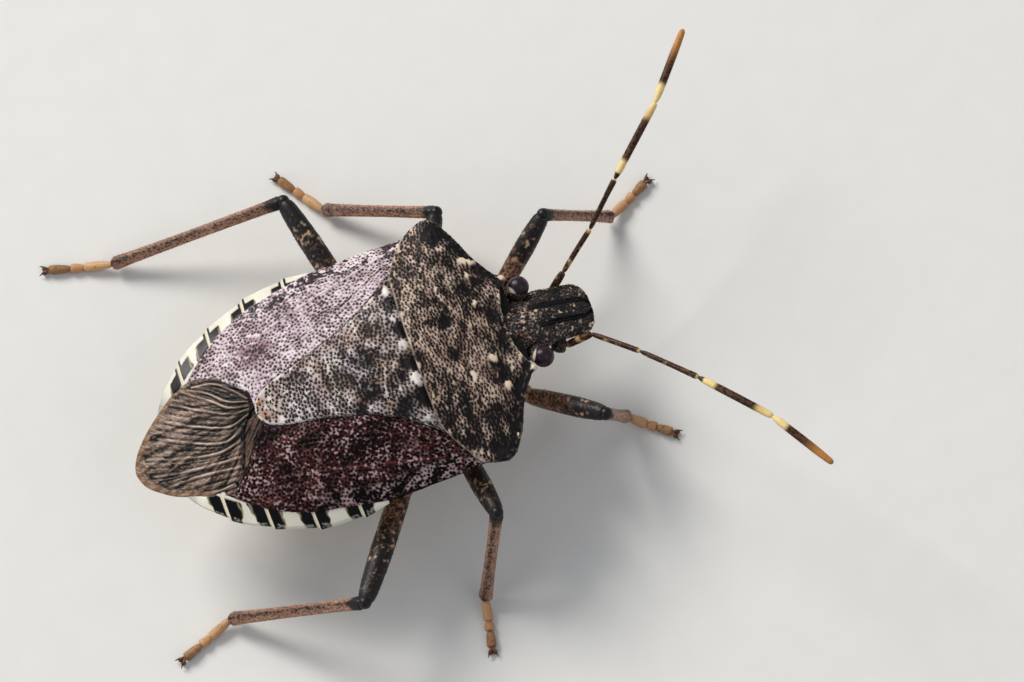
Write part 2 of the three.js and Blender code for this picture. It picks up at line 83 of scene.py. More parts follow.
def smooth(low: float, high: float, values: Array) -> Array:
    """A soft step from 0 at low to 1 at high.

    Args:
        low: Value where the step starts.
        high: Value where the step ends.
        values: Values to step.

    Returns:
        The stepped values, from 0 to 1.
    """
    share = np.clip((np.asarray(values, float) - low) / (high - low), 0.0, 1.0)
    return share * share * (3.0 - 2.0 * share)


def bell(offset: Array, width: float) -> Array:
    """A soft bell of height 1 where the offset is 0."""
    return np.exp(-((offset / width) ** 2))


def along(stations: Sequence[Station]) -> Callable[[Array], Array]:
    """A smooth curve through (place, value) stations that never overshoots them.

    Args:
        stations: Pairs of place and value, in any order of place.

    Returns:
        A function from places to values, level outside the stations.
    """
    table = np.array(sorted(stations, key=lambda pair: pair[0]), float)
    places, values = table[:, 0], table[:, 1]
    steps = np.diff(places)
    slopes = np.diff(values) / steps
    tangents = np.zeros_like(places)
    tangents[0], tangents[-1] = slopes[0], slopes[-1]
    same = slopes[:-1] * slopes[1:] > 0
    weight_a, weight_b = 2 * steps[1:] + steps[:-1], steps[1:] + 2 * steps[:-1]
    safe_a = np.where(same, slopes[:-1], 1.0)
    safe_b = np.where(same, slopes[1:], 1.0)
    mean = (weight_a + weight_b) / (weight_a / safe_a + weight_b / safe_b)
    tangents[1:-1] = np.where(same, mean, 0.0)

    def value(at: Array) -> Array:
        at = np.clip(np.asarray(at, float), places[0], places[-1])
        left = np.clip(np.searchsorted(places, at, side="right") - 1, 0, len(steps) - 1)
        share = (at - places[left]) / steps[left]
        square, cube = share**2, share**3
        return (
            (2 * cube - 3 * square + 1) * values[left]
            + (cube - 2 * square + share) * steps[left] * tangents[left]
            + (3 * square - 2 * cube) * values[left + 1]
            + (cube - square) * steps[left] * tangents[left + 1]
        )

    return value


def rolling(points: Array, cell: float, seed: int) -> Array:
    """Soft random hills over space, from -1 to 1.

    Args:
        points: Places in millimetres, one a row.
        cell: Size of a hill in millimetres.
        seed: Choice of hills.

    Returns:
        One height a point.
    """
    SIZE = 32
    table = np.random.default_rng(seed).random((SIZE, SIZE, SIZE)) * 2 - 1
    scaled = points / cell + 100.0
    base = np.floor(scaled).astype(int)
    share = scaled - base
    share = share * share * (3 - 2 * share)
    total = np.zeros(len(points))
    for corner in np.ndindex(2, 2, 2):
        spot = (base + corner) % SIZE
        weight = np.prod(np.where(np.array(corner) == 1, share, 1 - share), axis=1)
        total += weight * table[spot[:, 0], spot[:, 1], spot[:, 2]]
    return total


def bent(corners: Sequence[Station], steps: int = 8) -> Array:
    """A smooth line of plan places through corners.

    Args:
        corners: Plan places on the line.
        steps: Places between two corners.

    Returns:
        The places of the line.
    """
    known = np.array(corners, float)[:, :2]
    known = np.concatenate([[2 * known[0] - known[1]], known, [2 * known[-1] - known[-2]]])
    share = np.linspace(0, 1, steps, endpoint=False)[:, None]
    pieces = []
    for a, b, c, d in zip(known, known[1:], known[2:], known[3:]):
        pieces.append(
            0.5 * (
                2 * b + (c - a) * share + (2 * a - 5 * b + 4 * c - d) * share**2
                + (3 * b - a - 3 * c + d) * share**3
            )
        )
    return np.concatenate([*pieces, known[-2:-1]])


def evened(line: Array, count: int = 25) -> Array:
    """A line with its places at equal steps."""
    steps = np.concatenate([[0], np.cumsum(np.linalg.norm(np.diff(line, axis=0), axis=1))])
    even = np.linspace(0, steps[-1], count)
    return np.stack([np.interp(even, steps, line[:, axis]) for axis in (0, 1)], axis=1)


def to_line(points: Array, line: Sequence[Station]) -> tuple[Array, Array]:
    """How far plan points lie from a line of plan corners.

    Args:
        points: Places, whose first two columns are used.
        line: Corners of the line.

    Returns:
        The distance of each point, and its share of the way along the line.
    """
    corners = np.array(line, float)[:, :2]
    lengths = np.linalg.norm(np.diff(corners, axis=0), axis=1)
    starts = np.concatenate([[0.0], np.cumsum(lengths)])
    best = np.full(len(points), 1e9)
    share = np.zeros(len(points))
    for i, length in enumerate(lengths):
        way = (corners[i + 1] - corners[i]) / length
        offset = points[:, :2] - corners[i]
        run = np.clip(offset @ way, 0.0, length)
        distance = np.linalg.norm(offset - run[:, None] * way, axis=1)
        closer = distance < best
        best = np.where(closer, distance, best)
        share = np.where(closer, (starts[i] + run) / starts[-1], share)
    return best, share


@dataclass(frozen=True)
class Blotch:
    """A soft-edged oval patch on a plan place."""

    x: float
    y: float
    half_length: float
    half_width: float
    strength: float = 1.0
    turn: float = 0.0
    crisp: float = 0.5

    def mask(self, points: Array) -> Array:
        """How much of the patch each point has, from 0 to its strength."""
        turn = math.radians(self.turn)
        east, north = points[:, 0] - self.x, points[:, 1] - self.y
        length = (east * math.cos(turn) + north * math.sin(turn)) / self.half_length
        width = (north * math.cos(turn) - east * math.sin(turn)) / self.half_width
        reach = np.hypot(length, width)
        return self.strength * (1 - smooth(self.crisp, 2 - self.crisp, reach))


def most_of(blotches: Iterable[Blotch], points: Array) -> Array:
    """The strongest of several patches at each point."""
    best = np.zeros(len(points))
    for blotch in blotches:
        best = np.maximum(best, blotch.mask(points))
    return best


@dataclass(frozen=True)
class Stance:
    """How the trunk stands over the floor."""

    pitch: float = math.atan(0.049)
    lift: float = 0.996
    marker: tuple[float, float, float] = (3.41, 1.26, 2.85)

    def turned(self, points: Array) -> Array:
        """Trunk places tipped head up, before they are lifted."""
        cos, sin = math.cos(self.pitch), math.sin(self.pitch)
        points = np.asarray(points, float)
        x, y, z = points[..., 0], points[..., 1], points[..., 2]
        return np.stack([x * cos - z * sin, y, x * sin + z * cos], axis=-1)

    def shift(self) -> Array:
        """Where the floor frame's origin lies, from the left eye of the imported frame."""
        low, high = (np.array(corner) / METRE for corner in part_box("eye_left"))
        offset = (low + high) / 2 - self.turned(np.array(self.marker)) - (0, 0, self.lift)
        offset[2] = 0.0
        return offset

    def trunk(self, points: Array) -> Array:
        """Trunk places as places on the floor frame, in millimetres, before centring."""
        return self.turned(points) + (0, 0, self.lift)

    def metres(self, points: Array) -> Array:
        """Floor-frame places in millimetres as the scene's metres."""
        return (np.asarray(points, float) + self.shift()) * METRE


STANCE = Stance()


@dataclass(frozen=True)
class BackForm:
    """The vaulted back that the plates and wings share, and the hollow belly under it."""

    crest: Sequence[Station] = (
        (3.2, 3.3), (2.6, 3.45), (1.5, 4.05), (0.4, 4.5), (-0.5, 4.7), (-2, 4.72), (-4, 4.52),
        (-5.9, 4.22), (-7.5, 3.85), (-9, 3.42), (-10.5, 3.05),
    )
    brim: Sequence[Station] = (
        (3.2, 3.15), (2.2, 3.3), (1.27, 3.52), (0.4, 3.45), (-2, 3.32), (-5, 3.27), (-8, 3.2),
        (-9.4, 3.05), (-10.5, 2.95),
    )
    arch: Sequence[Station] = (
        (3.2, 1.8), (2.1, 3.3), (1.25, 4.4), (0.4, 4.15), (-2, 4.2), (-4, 4.28), (-6, 3.95),
        (-8, 3.5), (-10.5, 3.1),
    )
    keel: Sequence[Station] = (
        (2.6, 1.9), (1.6, 1.3), (0.5, 1), (-1, 0.88), (-2.85, 0.74), (-4.5, 0.64), (-6.5, 0.98),
        (-8, 1.5), (-9.4, 2),
    )

    def height(self, x: Array, y: Array) -> Array:
        """Height of the back over a plan place."""
        crest, brim, arch = along(self.crest)(x), along(self.brim)(x), along(self.arch)(x)
        share = np.minimum(1.0, np.abs(y) / arch)
        return brim + (crest - brim) * (1 - share**2.2)

    def belly(self, x: Array, share: Array, rim: Array) -> Array:
        """Height of the belly at a share of the half width, from its rim."""
        return rim - (rim - along(self.keel)(x)) * (1 - np.abs(share) ** 1.7)


BACK = BackForm()


# Meshes


@dataclass
class Shell:
    """Vertices in trunk or floor millimetres, their faces and their painted values."""

    points: Array
    faces: list[tuple[int, ...]]
    marks: dict[str, Array] = field(default_factory=dict)

    def joined(self, other: Shell) -> Shell:
        """This shell and another as one."""
        offset = len(self.points)
        marks = {}
        for name in sorted(set(self.marks) | set(other.marks)):
            known = self.marks.get(name, other.marks.get(name))
            mine = self.marks.get(name, np.zeros((len(self.points), *known.shape[1:])))
            theirs = other.marks.get(name, np.zeros((len(other.points), *known.shape[1:])))
            marks[name] = np.concatenate([mine, theirs])
        faces = self.faces + [tuple(i + offset for i in face) for face in other.faces]
        return Shell(np.concatenate([self.points, other.points]), faces, marks)

    def headed(self, way: Array) -> Shell:
        """This shell with one way painted on it, along which its hairs lie."""
        self.marks["way"] = np.tile(way, (len(self.points), 1))
        return self

    def outward(self) -> Shell:
        """This shell with its faces turned to the outside."""
        volume = 0.0
        for face in self.faces:
            first = self.points[face[0]]
            for i in range(1, len(face) - 1):
                volume += first @ np.cross(self.points[face[i]], self.points[face[i + 1]])
        if volume < 0:
            self.faces = [face[::-1] for face in self.faces]
        return self

    def raised(self, direction: Array, heights: Array) -> Shell:
        """This shell with its vertices moved along directions."""
        self.points = self.points + direction * heights[:, None]
        return self


def as_one(shells: Sequence[Shell]) -> Shell:
    """Several shells as one."""
    return reduce(Shell.joined, shells)


def skirt_of(points: Array, top: Array) -> Array:
    """Which of a plate's vertices lie under its top grid."""
    return np.arange(len(points)) >= top.shape[0] * top.shape[1]


def grid_faces(rows: int, columns: int, closed: bool = False) -> list[tuple[int, ...]]:
    """Four-sided faces over a grid of vertices kept row by row.

    Args:
        rows: Number of rows.
        columns: Number of vertices in a row.
        closed: True where each row is a ring.

    Returns:
        The faces as vertex numbers.
    """
    across = columns if closed else columns - 1
    row, column = np.meshgrid(np.arange(rows - 1), np.arange(across), indexing="ij")
    a = row * columns + column
    b = row * columns + (column + 1) % columns
    quads = np.stack([a, b, b + columns, a + columns], axis=-1).reshape(-1, 4)
    return [tuple(quad) for quad in quads.tolist()]


def plate(top: Array, thickness: float) -> Shell:
    """A closed plate under a grid of places.

    Args:
        top: Grid of places with shape rows, columns and 3.
        thickness: Height of the rim.

    Returns:
        The plate, its top vertices first.
    """
    rows, columns = top.shape[:2]
    points = top.reshape(-1, 3)
    faces = grid_faces(rows, columns)
    ring = (
        [i for i in range(columns)]
        + [r * columns + columns - 1 for r in range(1, rows)]
        + [(rows - 1) * columns + i for i in range(columns - 2, -1, -1)]
        + [r * columns for r in range(rows - 2, 0, -1)]
    )
    lower = points[ring] - (0, 0, thickness)
    start = len(points)
    count = len(ring)
    faces += [
        (ring[(i + 1) % count], ring[i], start + i, start + (i + 1) % count) for i in range(count)
    ]
    flat = [Vector((x, y, 0)) for x, y, _ in lower]
    under = [tuple(start + i for i in face) for face in tessellate_polygon([flat])]
    shell = Shell(np.concatenate([points, lower]), faces)
    if under:
        first = [shell.points[i] for i in under[0]]
        normal = np.cross(first[1] - first[0], first[2] - first[0])
        quad = [shell.points[i] for i in faces[0]]
        facing = np.cross(quad[1] - quad[0], quad[2] - quad[0])
        if normal[2] * facing[2] > 0:
            under = [face[::-1] for face in under]
    shell.faces += under
    return shell.outward()


def rings(rows: Array) -> Shell:
    """A closed shell through rings of places, each end fanned to its middle.

    Args:
        rows: Places with shape rings, places in a ring and 3.

    Returns:
        The shell.
    """
    count, size = rows.shape[:2]
    faces = grid_faces(count, size, closed=True)
    first, last = count * size, count * size + 1
    faces += [((i + 1) % size, i, first) for i in range(size)]
    offset = (count - 1) * size
    faces += [(offset + i, offset + (i + 1) % size, last) for i in range(size)]
    points = np.concatenate([rows.reshape(-1, 3), [rows[0].mean(0)], [rows[-1].mean(0)]])
    return Shell(points, faces).outward()


def ball(centre: Station, radii: Station, steps: int = 24) -> Shell:
    """A closed ball of a given radius along each axis."""
    lift = np.linspace(-np.pi / 2, np.pi / 2, steps + 2)[1:-1]
    turn = np.linspace(0, 2 * np.pi, 2 * steps, endpoint=False)
    rows = np.stack(
        [
            np.cos(lift)[:, None] * np.cos(turn),
            np.cos(lift)[:, None] * np.sin(turn),
            np.sin(lift)[:, None] * np.ones_like(turn),
        ],
        axis=-1,
    )
    shell = rings(rows)
    shell.points = shell.points / np.linalg.norm(shell.points, axis=1, keepdims=True).clip(1e-6)
    shell.points[-2] = (0, 0, -1)
    shell.points[-1] = (0, 0, 1)
    shell.points = shell.points * np.array(radii, float) + np.array(centre, float)
    return shell


def frames_along(path: Array) -> tuple[Array, Array, Array]:
    """Directions that turn as little as they can along a path.

    Args:
        path: Places along the way.

    Returns:
        The way on, one side and the other side at each place.
    """
    ways = np.gradient(path, axis=0)
    ways /= np.linalg.norm(ways, axis=1, keepdims=True)
    first = np.cross((0, 0, 1), ways[0])
    if np.linalg.norm(first) < 1e-3:
        first = np.cross((0, 1, 0), ways[0])
    sides = [first / np.linalg.norm(first)]
    for way in ways[1:]:
        side = sides[-1] - way * (sides[-1] @ way)
        sides.append(side / np.linalg.norm(side))
    across = np.array(sides)
    return ways, across, np.cross(ways, across)


def swept(path: Array, radii: Array, sides: int, profile: Profile | None = None) -> Shell:
    """A closed limb along a path.

    Args:
        path: Places along the way.
        radii: Radius at each place.
        sides: Vertices in a ring.
        profile: Share of the radius at each angle round the limb, or None for a round limb.

    Returns:
        The limb, with its share of the length painted as "run" and its angle as "turn".
    """
    _, across, other = frames_along(path)
    angles = np.linspace(0, 2 * np.pi, sides, endpoint=False)
    share = np.ones_like(angles) if profile is None else profile(angles)
    rows = path[:, None, :] + radii[:, None, None] * share[None, :, None] * (
        np.cos(angles)[None, :, None] * across[:, None, :]
        + np.sin(angles)[None, :, None] * other[:, None, :]
    )
    shell = rings(rows)
    runs = np.linspace(0, 1, len(path))
    shell.marks["run"] = np.concatenate([np.repeat(runs, sides), [0.0, 1.0]])
    shell.marks["turn"] = np.concatenate([np.tile(angles, len(path)), [0.0, 0.0]])
    return shell


def rim_distance(points: Array, rim: Array) -> Array:
    """Distance of each plan point from the nearest of the rim's points."""
    tree = KDTree(len(rim))
    for i, place in enumerate(rim):
        tree.insert((place[0], place[1], 0), i)
    tree.balance()
    return np.array([tree.find((x, y, 0))[2] for x, y in points[:, :2]])


def rounded_drop(distance: Array, radius: float) -> Array:
    """How far a rounded edge falls at a distance inside its rim."""
    inside = np.clip(radius - distance, 0, radius)
    return radius - np.sqrt(radius**2 - inside**2)


# Geometry trees


def wire(tree: Tree, pairs: Iterable[tuple[Socket, Socket]]) -> None:
    """Link each output to each input of the pairs."""
    for source, target in pairs:
        tree.links.new(source, target)


def added(tree: Tree, kind: str, inputs: dict | None = None, **settings: object) -> bpy.types.Node:
    """Add a node to a tree.

    Args:
        tree: The tree.
        kind: The node's type.
        inputs: The value of each named or numbered input, or the socket that feeds it.
        settings: The node's own settings, such as its operation.

    Returns:
        The node.
    """
    node = tree.nodes.new(kind)
    for name, value in settings.items():
        setattr(node, name, value)
    for key, value in (inputs or {}).items():
        if isinstance(value, Socket):
            tree.links.new(value, node.inputs[key])
        else:
            node.inputs[key].default_value = value
    return node


def vectors(tree: Tree, operation: str, first: object, second: object) -> Socket:
    """The result of a sum on two vectors, or of a vector scaled by a number."""
    key = "Scale" if operation == "SCALE" else 1
    return added(tree, "ShaderNodeVectorMath", {0: first, key: second}, operation=operation).outputs[0]


def fading_out(tree: Tree, share: Socket, low: float, high: float) -> Socket:
    """A soft step from 1 below the low value to 0 above the high one."""
    limits = {"Value": share, "From Min": low, "From Max": high, "To Min": 1.0, "To Max": 0.0}
    return added(tree, "ShaderNodeMapRange", limits, interpolation_type="SMOOTHSTEP").outputs["Result"]


def scatter_tree(name: str, sizes: Sequence[str]) -> tuple[Tree, Sockets]:
    """A new geometry tree with its named inputs.

    Args:
        name: Name of the tree.
        sizes: Names of its plain numbers.

    Returns:
        The tree and the sockets of its inputs.
    """
    tree = bpy.data.node_groups.new(name, "GeometryNodeTree")
    group_socket(tree, "Geometry", "INPUT", "NodeSocketGeometry")
    for size in sizes:
        group_socket(tree, size, "INPUT", "NodeSocketFloat")
    group_socket(tree, "Seed", "INPUT", "NodeSocketInt")
    group_socket(tree, "Material", "INPUT", "NodeSocketMaterial")
    group_socket(tree, "Geometry", "OUTPUT", "NodeSocketGeometry")
    return tree, tree.nodes.new("NodeGroupInput").outputs


def scattered(tree: Tree, given: Sockets, mark: str, crowd: float) -> Sockets:
    """Places scattered over the given mesh where a mark is painted, at the given spacing."""
    square = reckoned(tree, "MULTIPLY", given["Spacing"], given["Spacing"])
    inputs = {
        "Mesh": given["Geometry"],
        "Distance Min": given["Spacing"],
        "Density Max": reckoned(tree, "DIVIDE", crowd, square),
        "Density Factor": added(tree, "GeometryNodeInputNamedAttribute", {"Name": mark}).outputs["Attribute"],
        "Seed": given["Seed"],
    }
    return added(tree, "GeometryNodeDistributePointsOnFaces", inputs, distribute_method="POISSON").outputs


@dataclass(frozen=True)
class Punctures:
    """Pits scattered over a plate: sizes in millimetres."""

    spacing: float = 0.14
    radius: float = 0.05
    depth: float = 0.015
    stretch: float = 1.0
    jitter: float = 0.12
    seed: int = 1

    TREE = "Punctures"
    CROWD = 6.0
    RAGGED_SCALE = 11.0 / METRE
    PIT_EDGE = (0.6, 1.12)
    HALO_EDGE = (0.9, 1.9)

    @classmethod
    def tree(cls) -> Tree:
        """The tree that sinks pits into a mesh and paints them as "pit", with a "halo" round them."""
        known = bpy.data.node_groups.get(cls.TREE)
        if known:
            return known
        tree, given = scatter_tree(cls.TREE, ("Spacing", "Radius", "Depth", "Stretch", "Jitter"))
        spots = scattered(tree, given, "density", cls.CROWD)["Points"]
        place = added(tree, "GeometryNodeInputPosition").outputs[0]
        squeeze = added(tree, "ShaderNodeCombineXYZ", {"X": 1.0, "Y": given["Stretch"], "Z": 1.0}).outputs[0]
        squeezed = vectors(tree, "MULTIPLY", place, squeeze)
        moved = added(tree, "GeometryNodeSetPosition", {"Geometry": spots, "Position": squeezed}).outputs[0]
        ragged = added(tree, "ShaderNodeTexNoise", {"Scale": cls.RAGGED_SCALE, "Detail": 2.0}).outputs["Color"]
        centred = vectors(tree, "SUBTRACT", ragged, (0.5, 0.5, 0.5))
        sampled = vectors(tree, "ADD", squeezed, vectors(tree, "SCALE", centred, given["Jitter"]))
        near = added(
            tree, "GeometryNodeProximity", {0: moved, "Sample Position": sampled}, target_element="POINTS"
        ).outputs["Distance"]
        swell = added(tree, "GeometryNodeInputNamedAttribute", {"Name": "swell"}).outputs["Attribute"]
        share = reckoned(tree, "DIVIDE", near, reckoned(tree, "MULTIPLY", given["Radius"], swell))
        pit = fading_out(tree, share, *cls.PIT_EDGE)
        mesh = given["Geometry"]
        for name, value in (("pit", pit), ("halo", fading_out(tree, share, *cls.HALO_EDGE))):
            inputs = {"Geometry": mesh, "Name": name, "Value": value}
            mesh = added(tree, "GeometryNodeStoreNamedAttribute", inputs).outputs[0]
        sink = reckoned(tree, "MULTIPLY", reckoned(tree, "MULTIPLY", pit, given["Depth"]), -1.0)
        push = vectors(tree, "SCALE", added(tree, "GeometryNodeInputNormal").outputs[0], sink)
        carved = added(tree, "GeometryNodeSetPosition", {"Geometry": mesh, "Offset": push}).outputs[0]
        whole = added(tree, "GeometryNodeRealizeInstances", {0: carved}).outputs[0]
        dressed = added(tree, "GeometryNodeSetMaterial", {"Geometry": whole, "Material": given["Material"]})
        added(tree, "NodeGroupOutput", {"Geometry": dressed.outputs[0]})
        return tree

    def sink_into(self, piece: bpy.types.Object, material: bpy.types.Material) -> None:
        """Scatter these pits over a piece and leave it a plain mesh."""
        values = {
            "Spacing": self.spacing * METRE,
            "Radius": self.radius * METRE,
            "Depth": self.depth * METRE,
            "Stretch": self.stretch,
            "Jitter": self.jitter * METRE,
            "Seed": self.seed,
            "Material": material,
        }
        run_tree(piece, self.tree(), values)


@dataclass(frozen=True)
class Hairs:
    """Short hairs scattered over a limb and lying along it: sizes in millimetres."""

    spacing: float = 0.1
    length: float = 0.1
    radius: float = 0.006
    lean: float = 1.2
    seed: int = 1

    TREE = "Hairs"
    CROWD = 4.0
    CORNERS = 4
    SIZE_RANGE = {"Min": 0.6, "Max": 1.2}

    @classmethod
    def tree(cls) -> Tree:
        """The tree that stands thin cones on a mesh where "hair" is painted."""
        known = bpy.data.node_groups.get(cls.TREE)
        if known:
            return known
        tree, given = scatter_tree(cls.TREE, ("Spacing", "Length", "Radius", "Lean"))
        spots = scattered(tree, given, "hair", cls.CROWD)
        way = added(tree, "GeometryNodeInputNamedAttribute", {"Name": "way"}, data_type="FLOAT_VECTOR")
        lay = vectors(tree, "SCALE", way.outputs["Attribute"], given["Lean"])
        tilt = vectors(tree, "ADD", spots["Normal"], lay)
        turn = added(tree, "FunctionNodeAlignRotationToVector", {"Vector": tilt}, axis="Z").outputs[0]
        sizes = {
            "Vertices": cls.CORNERS, "Side Segments": 1, "Radius Top": 0.0,
            "Radius Bottom": given["Radius"], "Depth": given["Length"],
        }
        cone = added(tree, "GeometryNodeMeshCone", sizes, fill_type="NONE").outputs["Mesh"]
        sizes = added(tree, "FunctionNodeRandomValue", cls.SIZE_RANGE, data_type="FLOAT").outputs
        size = [socket for socket in sizes if socket.type == "VALUE" and socket.enabled][0]
        inputs = {"Points": spots["Points"], "Instance": cone, "Rotation": turn, "Scale": size}
        stand = added(tree, "GeometryNodeInstanceOnPoints", inputs).outputs[0]
        whole = added(tree, "GeometryNodeRealizeInstances", {0: stand}).outputs[0]
        dressed = added(tree, "GeometryNodeSetMaterial", {"Geometry": whole, "Material": given["Material"]})
        both = added(tree, "GeometryNodeJoinGeometry", {0: given["Geometry"]})
        tree.links.new(dressed.outputs[0], both.inputs[0])
        added(tree, "NodeGroupOutput", {"Geometry": both.outputs[0]})
        return tree

    def grow_on(self, piece: bpy.types.Object, material: bpy.types.Material) -> None:
        """Scatter these hairs over a piece and leave it a plain mesh."""
        values = {
            "Spacing": self.spacing * METRE,
            "Length": self.length * METRE,
            "Radius": self.radius * METRE,
            "Lean": self.lean,
            "Seed": self.seed,
            "Material": material,
        }
        run_tree(piece, self.tree(), values)


def run_tree(piece: bpy.types.Object, tree: Tree, values: dict[str, object]) -> None:
    """Run a geometry tree on a piece and keep the result as its plain mesh.

    Args:
        piece: Object to change.
        tree: Tree to run.
        values: Value of each named input.
    """
    modifier = piece.modifiers.new(tree.name, "NODES")
    modifier.node_group = tree
    for item in tree.interface.items_tree:
        if item.item_type == "SOCKET" and item.in_out == "INPUT" and item.name in values:
            modifier[item.identifier] = values[item.name]
    graph = bpy.context.evaluated_depsgraph_get()
    graph.update()
    result = bpy.data.meshes.new_from_object(
        piece.evaluated_get(graph), preserve_all_data_layers=True, depsgraph=graph
    )
    piece.modifiers.clear()
    old = piece.data
    piece.data = result
    result.name = piece.name
    bpy.data.meshes.remove(old)


def make_piece(name: str, shell: Shell, on_floor: bool = False, smooth_faces: bool = True) -> bpy.types.Object:
    """A scene object from a shell.

    Args:
        name: Name of the piece.
        shell: Its vertices, faces and painted values.
        on_floor: True where the shell is on the floor frame and not on the trunk's.
        smooth_faces: True for smooth shading.

    Returns:
        The object, linked into the scene.
    """
    places = STANCE.metres(shell.points if on_floor else STANCE.trunk(shell.points))
    mesh = bpy.data.meshes.new(name)
    mesh.from_pydata(places.tolist(), [], shell.faces)
    for mark, values in shell.marks.items():
        if values.ndim == 1:
            layer = mesh.attributes.new(mark, "FLOAT", "POINT")
            layer.data.foreach_set("value", values.astype(np.float32))
        else:
            layer = mesh.attributes.new(mark, "FLOAT_VECTOR", "POINT")
            layer.data.foreach_set("vector", values.astype(np.float32).ravel())
    if smooth_faces:
        mesh.shade_smooth()
    mesh.update()
    piece = bpy.data.objects.new(name, mesh)
    bpy.context.scene.collection.objects.link(piece)
    return piece


# Finishes


def group_socket(tree: Tree, name: str, way: str, kind: str, value: object = None) -> None:
    """Add a named socket to a node group, with its standing value."""
    socket = tree.interface.new_socket(name, in_out=way, socket_type=kind)
    if value is not None:
        socket.default_value = value


def mixed(tree: Tree, factor: object, under: object, over: object) -> Socket:
    """A blend of two colours; each input is a socket or a plain value."""
    under, over = (
        colour if isinstance(colour, Socket) else (*colour, 1.0) for colour in (under, over)
    )
    return added(tree, "ShaderNodeMix", {0: factor, 6: under, 7: over}, data_type="RGBA").outputs[2]


def reckoned(tree: Tree, operation: str, *terms: object, clamp: bool = False) -> Socket:
    """The result of a sum on sockets or plain numbers."""
    inputs = dict(enumerate(terms))
    return added(tree, "ShaderNodeMath", inputs, operation=operation, use_clamp=clamp).outputs[0]


def speckle(tree: Tree, vector: object, scale: object, detail: float) -> Socket:
    """Soft noise from 0 to 1 at a number of hills a metre."""
    return added(tree, "ShaderNodeTexNoise", {"Detail": detail, "Scale": scale, "Vector": vector}).outputs[0]


def object_place(tree: Tree) -> Socket:
    """The place on the piece that is being shaded."""
    return tree.nodes.new("ShaderNodeTexCoord").outputs["Object"]


def painted(tree: Tree, mark: str) -> Socket:
    """The painted value of a mark."""
    return added(tree, "ShaderNodeAttribute", attribute_name=mark).outputs["Fac"]


def new_finish(name: str, **gloss: float) -> tuple[bpy.types.Material, Tree, bpy.types.Node]:
    """A new node material.

    Args:
        name: Name of the material.
        gloss: Its coat, coat_roughness and specular, where they aren't the shader's own.

    Returns:
        The material, its tree and its shader.
    """
    labels = {"coat": "Coat Weight", "coat_roughness": "Coat Roughness", "specular": "Specular IOR Level"}
    material = bpy.data.materials.new(name)
    material.use_nodes = True
    shader = material.node_tree.nodes["Principled BSDF"]
    for key, value in gloss.items():
        shader.inputs[labels[key]].default_value = value
    return material, material.node_tree, shader


def cuticle_group() -> Tree:
    """The shared look of hard skin: ground, blush, dark patches, pits and pale calluses."""
    NAME = "Cuticle"
    known = bpy.data.node_groups.get(NAME)
    if known:
        return known
    tree = bpy.data.node_groups.new(NAME, "ShaderNodeTree")
    marks = ("Blush", "Halo", "Dark", "Pale", "Pit")
    for name in ("Ground", "Second ground", *(f"{mark} colour" for mark in marks)):
        group_socket(tree, name, "INPUT", "NodeSocketColor", (0.5, 0.5, 0.5, 1.0))
    for name in (*marks, "Grain", "Gloss low", "Gloss high"):
        group_socket(tree, name, "INPUT", "NodeSocketFloat", 0.0)
    group_socket(tree, "Vector", "INPUT", "NodeSocketVector")
    group_socket(tree, "Colour", "OUTPUT", "NodeSocketColor")
    group_socket(tree, "Roughness", "OUTPUT", "NodeSocketFloat")
    group_socket(tree, "Height", "OUTPUT", "NodeSocketFloat")
    start = tree.nodes.new("NodeGroupInput").outputs
    end = tree.nodes.new("NodeGroupOutput").inputs
    broad = speckle(tree, start["Vector"], reckoned(tree, "MULTIPLY", start["Grain"], 0.12), 2.0)
    fine = speckle(tree, start["Vector"], start["Grain"], 3.0)
    dust = speckle(tree, start["Vector"], reckoned(tree, "MULTIPLY", start["Grain"], 4.0), 2.0)
    patchy = reckoned(tree, "MULTIPLY_ADD", broad, 3.0, -1.0, clamp=True)
    ground = mixed(tree, patchy, start["Ground"], start["Second ground"])
    fleck = reckoned(tree, "MULTIPLY_ADD", fine, 4.0, -1.7, clamp=True)
    for mark, noise, part, least in (
        ("Blush", fleck, 0.5, 0.6), ("Halo", fleck, 0.7, 0.35), ("Dark", fleck, 0.5, 0.65), ("Pale", fine, 0.4, 0.8)
    ):
        broken = reckoned(tree, "MULTIPLY_ADD", noise, part, least)
        share = reckoned(tree, "MULTIPLY", start[mark], broken, clamp=True)
        ground = mixed(tree, share, ground, start[f"{mark} colour"])
    ground = mixed(tree, start["Pit"], ground, start["Pit colour"])
    shade = reckoned(tree, "MULTIPLY_ADD", dust, 0.35, 0.82)
    gloss = added(tree, "ShaderNodeMix", {0: dust, 2: start["Gloss low"], 3: start["Gloss high"]}).outputs[0]
    height = reckoned(tree, "ADD", reckoned(tree, "MULTIPLY", fine, 0.7), reckoned(tree, "MULTIPLY", dust, 0.3))
    wire(
        tree,
        [
            (vectors(tree, "SCALE", ground, shade), end["Colour"]),
            (reckoned(tree, "MULTIPLY_ADD", start["Pit"], 0.15, gloss), end["Roughness"]),
            (height, end["Height"]),
        ],
    )
    return tree


